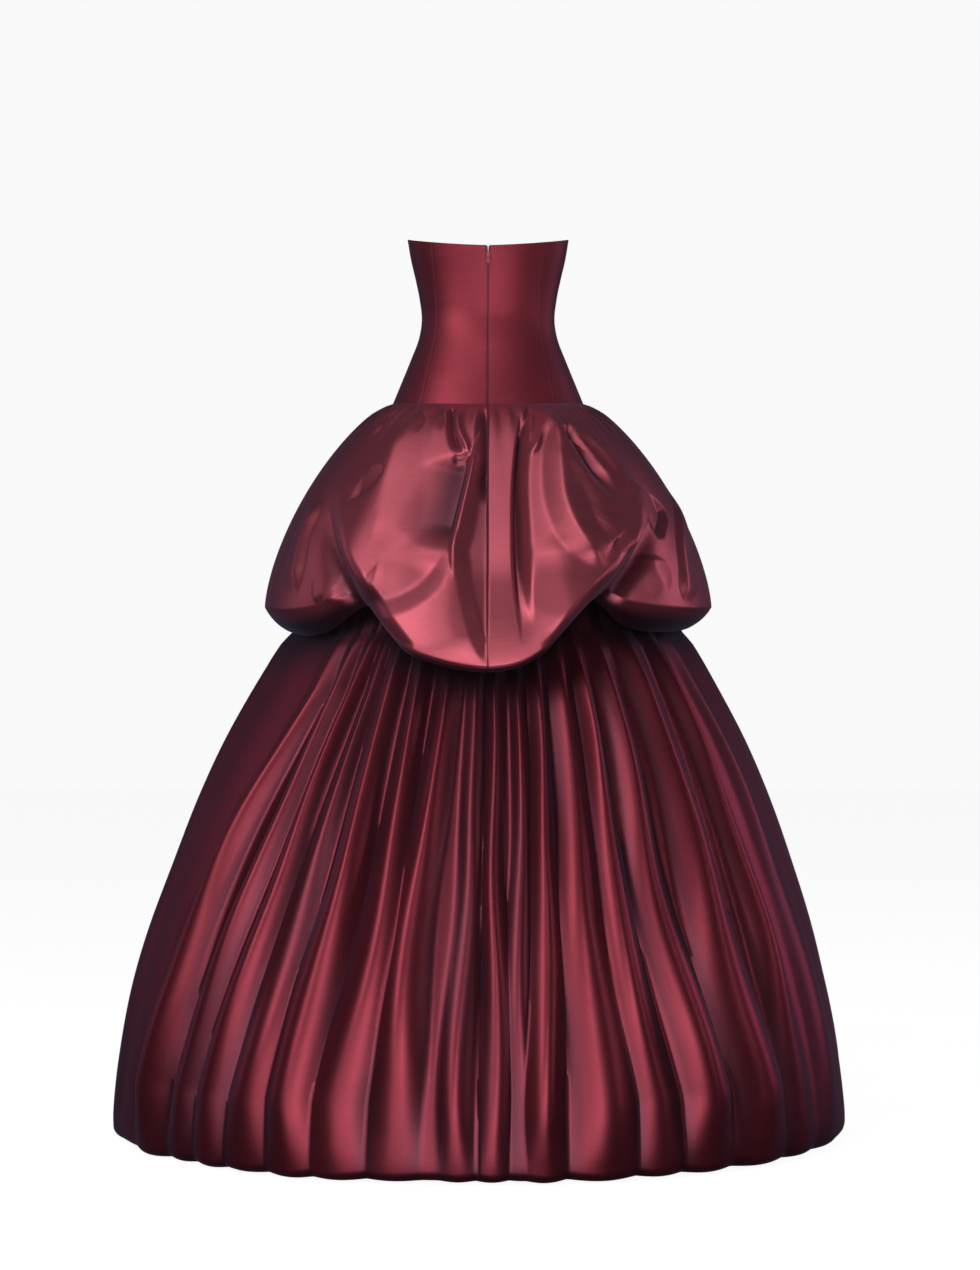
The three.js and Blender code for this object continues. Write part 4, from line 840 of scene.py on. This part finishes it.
def node_chain(owner):
    """Two short forms: one adds a node with its inputs and settings to a tree, and one joins two sockets."""
    tree = owner.node_tree

    def add(kind, inputs, **settings):
        node = tree.nodes.new(kind)
        for key, value in settings.items():
            setattr(node, key, value)
        fill(node, inputs)
        return node

    return add, tree.links.new


def fill(node, inputs):
    """Sets a node's inputs by their names or numbers."""
    for key, value in inputs.items():
        node.inputs[key].default_value = value


def woven_noise(add, link, stretch, detail):
    """A noise on the cloth's own map, stretched along the weft."""
    place = add("ShaderNodeUVMap", {}, uv_map="cloth")
    mapping = add("ShaderNodeMapping", {"Scale": stretch})
    noise = add("ShaderNodeTexNoise", {"Scale": 1, "Detail": detail})
    link(place.outputs["UV"], mapping.inputs["Vector"])
    link(mapping.outputs["Vector"], noise.inputs["Vector"])
    return noise.outputs["Fac"]


def solid_noise(add, link, scale, detail=2):
    """A noise on Object coordinates."""
    where = add("ShaderNodeTexCoord", {})
    noise = add("ShaderNodeTexNoise", {"Scale": scale, "Detail": detail})
    link(where.outputs["Object"], noise.inputs["Vector"])
    return noise.outputs["Fac"]


def taffeta(part, dark, settings):
    """Shot taffeta: a metal-like red satin with faint slubs along the weft, and a fine ribbed bump.

    Its colour goes from the dark one to the light one by slubs and soft clouds, and from there to the seam
    and shade colour by the cloth's attribute, which darkens the seams and paints shade in valleys, creases,
    under edges and towards the sides. The light and dark colours are lit or shaded copies for each part:
    painted light on the overskirt and painted shade on the skirt."""
    # Each part's colours are lit or shaded copies of one taffeta: painted light on the overskirt, painted
    # shade on the skirt.
    colour, roughness = getattr(settings, f"{part}_colour"), getattr(settings, f"{part}_roughness")
    material = bpy.data.materials.new(f"{part}_taffeta")
    material.use_nodes = True
    add, link = node_chain(material)
    shader = material.node_tree.nodes["Principled BSDF"]
    clouds = add("ShaderNodeMath", {1: CLOUD_SHARE, 2: CLOUD_BASE}, operation="MULTIPLY_ADD")
    link(solid_noise(add, link, CLOUD_SCALE), clouds.inputs[0])
    light = add("ShaderNodeMath", {1: SLUB_SHARE}, operation="MULTIPLY_ADD", use_clamp=True)
    link(woven_noise(add, link, SLUB_STRETCH, SLUB_DETAIL), light.inputs[0])
    link(clouds.outputs[0], light.inputs[2])
    shade = add("ShaderNodeMix", {"A": (*dark, 1), "B": (*colour, 1)}, data_type="RGBA")
    link(light.outputs[0], shade.inputs["Factor"])
    # The attribute paints shade in valleys, creases, under edges and towards the sides, and darkens the
    # seams.
    depth = add("ShaderNodeAttribute", {}, attribute_name="seam_and_painted_shade")
    seam_and_shade_mix = add("ShaderNodeMix", {"B": (*settings.seam_and_painted_shade_colour, 1)}, data_type="RGBA")
    link(depth.outputs["Fac"], seam_and_shade_mix.inputs["Factor"])
    link(shade.outputs["Result"], seam_and_shade_mix.inputs["A"])
    link(seam_and_shade_mix.outputs["Result"], shader.inputs["Base Color"])
    bump = add("ShaderNodeBump", {"Strength": RIB_STRENGTH, "Distance": RIB_DEPTH})
    link(woven_noise(add, link, RIB_STRETCH, RIB_DETAIL), bump.inputs["Height"])
    link(bump.outputs["Normal"], shader.inputs["Normal"])
    tint = (*settings.shot_tint, 1)
    fill(shader, {
        "Metallic": settings.metallic, "Roughness": roughness, "Specular Tint": tint,
        "Sheen Weight": settings.sheen, "Sheen Roughness": SHEEN_ROUGHNESS, "Sheen Tint": tint,
    })
    return material


def plain_finish(name):
    """A fine-grained finish from the table: its colour, darkened a little by a small noise."""
    colour, roughness, metallic, grain = FINISHES[name]
    material = bpy.data.materials.new(name)
    material.use_nodes = True
    add, link = node_chain(material)
    shader = material.node_tree.nodes["Principled BSDF"]
    darker = [c * GRAIN_SHADE for c in colour]
    shade = add("ShaderNodeMix", {"A": (*darker, 1), "B": (*colour, 1)}, data_type="RGBA")
    link(solid_noise(add, link, grain), shade.inputs["Factor"])
    link(shade.outputs["Result"], shader.inputs["Base Color"])
    fill(shader, {"Metallic": metallic, "Roughness": roughness})
    return material


class GownCloth(bpy.types.PropertyGroup):
    """The finish of the shot taffeta."""

    bodice_colour: FloatVectorProperty(
        name="Bodice colour", description="Colour of the bodice where it catches the light",
        subtype="COLOR", size=3, default=(0.4, 0.056, 0.08), min=0, max=1)
    # Painted light: the overskirt's colour is a lighter copy of the same taffeta.
    overskirt_colour: FloatVectorProperty(
        name="Overskirt colour", description="Colour of the overskirt where it catches the light",
        subtype="COLOR", size=3, default=(0.56, 0.115, 0.15), min=0, max=1)
    # Painted shade: the skirt's colour is a darker copy of the same taffeta.
    skirt_colour: FloatVectorProperty(
        name="Skirt colour", description="Colour of the skirt where it catches the light",
        subtype="COLOR", size=3, default=(0.25, 0.036, 0.052), min=0, max=1)
    shade_colour: FloatVectorProperty(
        name="Shade colour", description="Colour of the darker weft that shows between the bright threads",
        subtype="COLOR", size=3, default=(0.13, 0.016, 0.03), min=0, max=1)
    # Painted light: a lighter copy of the shade colour for the overskirt.
    overskirt_shade: FloatVectorProperty(
        name="Overskirt shade", description="The overskirt's darker weft colour",
        subtype="COLOR", size=3, default=(0.27, 0.05, 0.075), min=0, max=1)
    # Painted shade: this colour is mixed in by the cloth's attribute in valleys, creases, under edges and
    # towards the sides, and along the dark seams.
    seam_and_painted_shade_colour: FloatVectorProperty(
        name="Deep colour", description="Blue-black weft that shows where folds turn the cloth away",
        subtype="COLOR", size=3, default=(0.068, 0.032, 0.048), min=0, max=1)
    shot_tint: FloatVectorProperty(
        name="Shot tint", description="Violet-grey that the shot weave shows when it is seen from the side",
        subtype="COLOR", size=3, default=(0.30, 0.28, 0.46), min=0, max=1)
    metallic: FloatProperty(
        name="Metallic", description="How much the satin face mirrors like metal", default=0.85, min=0, max=1,
        subtype="FACTOR")
    bodice_roughness: FloatProperty(
        name="Bodice roughness", description="Width of the satin's highlights on the bodice",
        default=0.52, min=0, max=1, subtype="FACTOR")
    overskirt_roughness: FloatProperty(
        name="Overskirt roughness", description="Width of the satin's highlights on the overskirt",
        default=0.42, min=0, max=1, subtype="FACTOR")
    skirt_roughness: FloatProperty(
        name="Skirt roughness", description="Width of the satin's highlights on the skirt",
        default=0.4, min=0, max=1, subtype="FACTOR")
    sheen: FloatProperty(
        name="Sheen", description="Strength of the nap's sheen at the edges", default=0.26, min=0, max=1,
        subtype="FACTOR")


class GownForm(bpy.types.PropertyGroup):
    """How finely the cloth is worked out."""

    skirt_rows: IntProperty(
        name="Skirt rows", description="Steps down the outside of the skirt", default=120, min=30, max=300)
    overskirt_spacing: FloatProperty(
        name="Overskirt spacing", description="Widest step in degrees between the grid columns of its back",
        default=0.5, min=0.2, max=4)
    overskirt_rows: IntProperty(
        name="Overskirt rows", description="Steps down the outside of the overskirt", default=140, min=30,
        max=300)
    bodice_columns: IntProperty(
        name="Bodice columns", description="Steps across each bodice panel", default=36, min=8, max=120)
    bodice_rows: IntProperty(
        name="Bodice rows", description="Steps down the bodice", default=90, min=20, max=200)


class GownStage(bpy.types.PropertyGroup):
    """The camera, lights and floor."""

    camera_distance: FloatProperty(
        name="Camera distance", description="From the gown's axis to the camera", default=5.4, min=1, max=20,
        subtype="DISTANCE", unit="LENGTH")
    camera_height: FloatProperty(
        name="Camera height", description="Height of the level camera over the waist", default=-0.507, min=-3,
        max=3, subtype="DISTANCE", unit="LENGTH")
    light_scale: FloatProperty(
        name="Light scale", description="Factor on the power of every soft light", default=1, min=0, max=20)
    floor_glow: FloatProperty(
        name="Floor glow", description="Light that the pale floor gives off to the camera",
        default=0.93, min=0, max=2)
    room_light: FloatProperty(
        name="Room light", description="Strength of the dim light from all round", default=0.03, min=0, max=5)


def bodice_seam(column, sign, whole_turn=0):
    """A bodice seam's angle by height, from a column of the sections."""
    values = getattr(BODICE_SECTIONS, column)
    return lambda z: sign * through(BODICE_SECTIONS.z, values, z) + whole_turn


def straight_seam(angle):
    """A seam that stays at one angle."""
    return lambda z: angle + 0 * z


def bodice_panel(name, start, end):
    """The surface of a panel from seam to seam, and how dark it is by its dark seams and by painted shade
    towards its sides, both by the share of the way across.

    The seams lie in a groove, a bell curve, and the centre back's edges are parted by the zip's gap."""
    centre_back = name.startswith("centre_back")
    side = -1 if name.endswith("left") else 1

    def from_seam(across, z):
        return np.minimum(across, 1 - across) * PANEL_RADIUS * np.radians(np.abs(end(z) - start(z)))

    def surface(across, down):
        # The angle depends on the height and the height on the angle, so they are found in two rounds.
        top = bodice_top(start(0 * down) * (1 - across) + end(0 * down) * across)
        z = top + (HIP_SEAM - top) * down
        angle = start(z) * (1 - across) + end(z) * across
        top = bodice_top(angle)
        z = top + (hip_seam(angle) - top) * down
        lapped = angle - np.degrees(SEAM_LAP / LAP_RADIUS) * (1 - 2 * across)
        groove = BODICE_GROOVE * np.exp(-((from_seam(across, z) / BODICE_GROOVE_WIDTH) ** 2))
        point = bodice_point(lapped, z, -groove)
        if centre_back:
            near = np.clip(1 - np.abs(point[..., 0]) / V_REACH, 0, 1)
            point[..., 0] += side * (zip_half_gap(z) + SEAM_LAP) * near
        return point

    def depth(across, z, course):
        away = np.abs(turn(start(z) * (1 - across) + end(z) * across, 0))
        # Dark seams, and painted shade towards the bodice's sides.
        dark = np.where(centre_back & (away < V_REACH), SEAM_DARK, BODICE_SEAM_DARK)
        sides = BODICE_SIDE_SHADE * blend(*BODICE_SIDE_ANGLES, np.minimum(away, 180 - away))
        return np.maximum(sides, dark * np.exp(-((from_seam(across, z) / SEAM_WIDTH) ** 2)))

    return surface, depth


class GOWN_OT_bodice(bpy.types.Operator):
    """Make the seven bodice panels as thin closed shells between their seams"""

    bl_idname = "gown.bodice"
    bl_label = "Bodice"

    def execute(self, context):
        cloth = context.scene.gown_cloth
        form = context.scene.gown_form
        material = taffeta("bodice", cloth.shade_colour, cloth)
        side_left, centre, side_right = straight_seam(-90), straight_seam(0), straight_seam(90)
        front_left, front_right = bodice_seam("frontSeam", -1), bodice_seam("frontSeam", 1)
        back_left, back_right = bodice_seam("backSeam", -1), bodice_seam("backSeam", 1)
        panels = [
            ("centre_front", bodice_seam("frontSeam", 1, -360), front_left),
            ("side_front_left", front_left, side_left),
            ("side_back_left", side_left, back_left),
            ("centre_back_left", back_left, centre),
            ("centre_back_right", centre, back_right),
            ("side_back_right", back_right, side_right),
            ("side_front_right", side_right, front_right),
        ]
        rows = np.linspace(0, 1, form.bodice_rows)
        even = np.linspace(EVEN_FROM, 1 - EVEN_FROM, form.bodice_columns)
        across = np.concatenate([NEAR_SEAM, even, 1 - NEAR_SEAM[::-1]])
        grid = across[:, None] + 0 * rows
        for name, start, end in panels:
            surface, depth = bodice_panel(name, start, end)
            mesh = cloth_mesh(f"bodice_{name}_cloth", surface, grid, rows, BODICE_WALL, depth)
            piece = show(mesh.name, mesh, material, "bodice_taffeta", f"bodice_{name}")
            cut_sheet(piece)
        return {"FINISHED"}


def overskirt_guides():
    """Each overskirt panel's name, seams and guides, along its lobe's creases and shoulders and its folds."""
    strokes = dict(zip(OVERSKIRT_STROKES.name, OVERSKIRT_STROKES.path))

    def height_at(angle, course):
        return overskirt_surface(angle, course)[:, 2]

    def along(name):
        angle, z = np.array(strokes[name], float).T
        return fold_line(lambda height: through(z, angle, height), height_at)

    def crease(lobe, side, aside=0.0):
        creases = lobe["creases"]
        return fold_line(lambda height: through(creases.z, getattr(creases, side), height) + aside, height_at)

    back, front = LOBES
    right_shoulder = crease(back, "right", -LOBE_SHOULDER)
    big_fold = along("big_fold")
    return [
        ("back_left", -90, 0, [
            crease(back, "left"), crease(back, "left", LOBE_SHOULDER),
            along("left_valley"), along("left_ridge"),
        ]),
        ("back_right", 0, 90, [
            along("strip_right_valley"), along("thin_ridge"),
            lambda courses: np.minimum(big_fold(courses), right_shoulder(courses) - FOLD_CLEAR),
            right_shoulder, crease(back, "right"),
        ]),
        ("front", 90, 270, [
            crease(front, "left"), crease(front, "left", LOBE_SHOULDER), along("front_5"), along("front_6"),
            crease(front, "right", -LOBE_SHOULDER), crease(front, "right"),
        ]),
    ]


class GOWN_OT_overskirt(bpy.types.Operator):
    """Make the three panels of the puffed overskirt, with its lobes, pleats and turned-under edge"""

    bl_idname = "gown.overskirt"
    bl_label = "Overskirt"

    def execute(self, context):
        cloth = context.scene.gown_cloth
        form = context.scene.gown_form
        # The overskirt's lighter copy of the taffeta: painted light.
        material = taffeta("overskirt", cloth.overskirt_shade, cloth)
        down = np.linspace(0, 1, form.overskirt_rows) ** OVERSKIRT_SPREAD
        courses = np.concatenate([down, OVERSKIRT_TUCK])
        for name, start, end, folds in overskirt_guides():
            first = seam_line(overskirt_surface, start, 1)
            last = seam_line(overskirt_surface, end, -1)[::-1]
            spacing = form.overskirt_spacing * (FRONT_SPACING if name == "front" else 1)
            angles = columns_along([*first, *folds, *last], courses, even_steps(spacing))
            mesh = cloth_mesh(
                f"overskirt_{name}_cloth", overskirt_surface, angles, courses, SKIRT_WALL, overskirt_seam_and_shade)
            piece = show(mesh.name, mesh, material, "overskirt_taffeta", f"overskirt_{name}")
            cut_sheet(piece)
        return {"FINISHED"}


class GOWN_OT_skirt(bpy.types.Operator):
    """Make the four skirt panels, with their gathers and turned-under hem"""

    bl_idname = "gown.skirt"
    bl_label = "Skirt"

    def execute(self, context):
        cloth = context.scene.gown_cloth
        form = context.scene.gown_form
        # The skirt's darker copy of the taffeta: painted shade.
        material = taffeta("skirt", cloth.shade_colour, cloth)
        courses = np.concatenate([np.linspace(0, 1, form.skirt_rows), SKIRT_TUCK])

        def height_at(angle, course):
            return skirt_surface(angle, course)[:, 2]

        for name, start, end in SKIRT_PANELS:
            folds = [k for k, hem in enumerate(SKIRT_FOLDS.hem) if start < hem < end]
            crests = [fold_line(lambda height, k=k: fold_angle(k, height), height_at) for k in folds]
            guides = [seam_line(skirt_surface, start, 1)[0], crests[0]]
            for before, after in zip(crests, crests[1:]):
                guides += [valley_line(before, after), after]
            guides.append(seam_line(skirt_surface, end, -1)[0])
            angles = columns_along(guides, courses, fold_steps)
            mesh = cloth_mesh(f"skirt_{name}_cloth", skirt_surface, angles, courses, SKIRT_WALL, skirt_seam_and_shade)
            piece = show(mesh.name, mesh, material, "skirt_taffeta", f"skirt_{name}")
            cut_sheet(piece)
        return {"FINISHED"}


def coil_mesh(name, side):
    """A zip coil: a tube round a helix that climbs along one edge of the zip, with closed ends."""
    turns = (COIL_TOP - COIL_FOOT) / COIL_PITCH
    at = np.linspace(0, turns * 2 * np.pi, int(turns * COIL_STEPS))
    z = COIL_FOOT + COIL_PITCH * at / (2 * np.pi)
    x = side * (zip_half_gap(z) + COIL_SETBACK - COIL_RADIUS * np.cos(at))
    y = bodice_point(0 * z, z)[:, 1] + COIL_DEPTH + COIL_RADIUS * np.sin(at)
    centre = np.stack([x, y, z], axis=-1)
    along = np.gradient(centre, axis=0)
    along /= np.linalg.norm(along, axis=-1, keepdims=True)
    out = np.cross(along, (0.0, 0.0, 1.0))
    out /= np.linalg.norm(out, axis=-1, keepdims=True)
    up = np.cross(out, along)
    around = np.linspace(0, 2 * np.pi, COIL_SIDES, endpoint=False)[:, None, None]
    rings = centre + COIL_THREAD * (np.cos(around) * out + np.sin(around) * up)
    points = rings.transpose(1, 0, 2).reshape(-1, 3) * MM
    index = np.arange(len(points)).reshape(len(at), COIL_SIDES)
    beside = np.roll(index, -1, axis=1)
    faces = np.stack([index[:-1], beside[:-1], beside[1:], index[1:]], axis=-1).reshape(-1, 4).tolist()
    faces += [index[0, ::-1].tolist(), index[-1].tolist()]
    mesh = bpy.data.meshes.new(name)
    mesh.from_pydata(points.tolist(), [], faces)
    mesh.polygons.foreach_set("use_smooth", np.ones(len(faces), bool))
    return mesh


class GOWN_OT_zip(bpy.types.Operator):
    """Finish the zip: its tapes, slider and pull, and a coil of teeth up each side of the open top"""

    bl_idname = "gown.zip"
    bl_label = "Zip"

    def execute(self, context):
        tape, enamel, nylon = plain_finish("zip_tape"), plain_finish("zip_enamel"), plain_finish("zip_nylon")
        finishes = {"zip_tape_left": tape, "zip_tape_right": tape, "zip_slider": enamel, "zip_pull": enamel}
        for name, material in finishes.items():
            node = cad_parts[name]
            node.data.materials.clear()
            node.data.materials.append(material)
        for name, side in (("zip_coil_left", -1), ("zip_coil_right", 1)):
            show(name, coil_mesh(name, side), nylon, "zip_tape")
        return {"FINISHED"}


class GOWN_OT_stage(bpy.types.Operator):
    """Make the camera, the soft lights and the pale floor"""

    bl_idname = "gown.stage"
    bl_label = "Stage"

    def execute(self, context):
        stage = context.scene.gown_stage
        scene = context.scene
        scene.view_settings.view_transform = "Standard"
        camera_data = bpy.data.cameras.new("camera")
        camera_data.sensor_width = SENSOR
        camera_data.lens = SENSOR * FOCAL_SHARE
        camera = bpy.data.objects.new("camera", camera_data)
        scene.collection.objects.link(camera)
        camera.location = (CAMERA_ACROSS, -stage.camera_distance, stage.camera_height)
        camera.rotation_euler = (np.pi / 2, 0, 0)
        scene.camera = camera
        world = bpy.data.worlds.new("room")
        world.use_nodes = True
        add, link = node_chain(world)
        shown = world.node_tree.nodes["Background"]
        fill(shown, {"Color": (1, 1, 1, 1), "Strength": ROOM_SHOWN})
        lit = add("ShaderNodeBackground", {"Color": ROOM_TINT, "Strength": stage.room_light})
        ray = add("ShaderNodeLightPath", {})
        either = add("ShaderNodeMixShader", {})
        link(ray.outputs["Is Camera Ray"], either.inputs["Fac"])
        link(lit.outputs["Background"], either.inputs[1])
        link(shown.outputs["Background"], either.inputs[2])
        link(either.outputs["Shader"], world.node_tree.nodes["World Output"].inputs["Surface"])
        scene.world = world
        for name, azimuth, up, away, width, tall, watts in LIGHTS.rows:
            data = bpy.data.lights.new(name, "AREA")
            data.shape = "RECTANGLE"
            data.size, data.size_y, data.energy = width, tall, watts * stage.light_scale
            lamp = bpy.data.objects.new(name, data)
            round_it = np.radians(azimuth)
            lamp.location = (away * np.sin(round_it), -away * np.cos(round_it), up)
            lamp.rotation_euler = (LIGHT_TARGET - lamp.location).to_track_quat("-Z", "Y").to_euler()
            lamp.visible_camera = False
            scene.collection.objects.link(lamp)
        x, z = FLOOR_SIDE, (SKIRT_HEM - FLOOR_CLEARANCE) * MM
        corners = [(-x, -x, z), (x, -x, z), (x, x, z), (-x, x, z)]
        floor_mesh = bpy.data.meshes.new("floor")
        floor_mesh.from_pydata(corners, [], [(0, 1, 2, 3)])
        floor = bpy.data.objects.new("floor", floor_mesh)
        scene.collection.objects.link(floor)
        paint = plain_finish("floor_paint")
        glow = {"Emission Color": (1, 1, 1, 1), "Emission Strength": stage.floor_glow}
        fill(paint.node_tree.nodes["Principled BSDF"], glow)
        floor_mesh.materials.append(paint)
        floor.visible_diffuse = False
        floor.visible_glossy = False
        return {"FINISHED"}


class GOWN_PT_panel(bpy.types.Panel):
    """The gown's settings and steps"""

    bl_idname = "GOWN_PT_panel"
    bl_label = "Ball gown"
    bl_space_type = "VIEW_3D"
    bl_region_type = "UI"
    bl_category = "Gown"

    def draw(self, context):
        for group in (context.scene.gown_cloth, context.scene.gown_form, context.scene.gown_stage):
            for name in group.__annotations__:
                self.layout.prop(group, name)
        for operator in STEPS:
            self.layout.operator(operator.bl_idname)


STEPS = (GOWN_OT_bodice, GOWN_OT_overskirt, GOWN_OT_skirt, GOWN_OT_zip, GOWN_OT_stage)
GROUPS = {"gown_cloth": GownCloth, "gown_form": GownForm, "gown_stage": GownStage}
CLASSES = (*GROUPS.values(), *STEPS, GOWN_PT_panel)


def register():
    for cls in CLASSES:
        bpy.utils.register_class(cls)
    for name, group in GROUPS.items():
        setattr(bpy.types.Scene, name, PointerProperty(type=group))


def unregister():
    for name in GROUPS:
        delattr(bpy.types.Scene, name)
    for cls in reversed(CLASSES):
        bpy.utils.unregister_class(cls)


def main():
    register()
    bpy.ops.gown.bodice()
    bpy.ops.gown.overskirt()
    bpy.ops.gown.skirt()
    bpy.ops.gown.zip()
    bpy.ops.gown.stage()


if __name__ == "__main__":
    main()
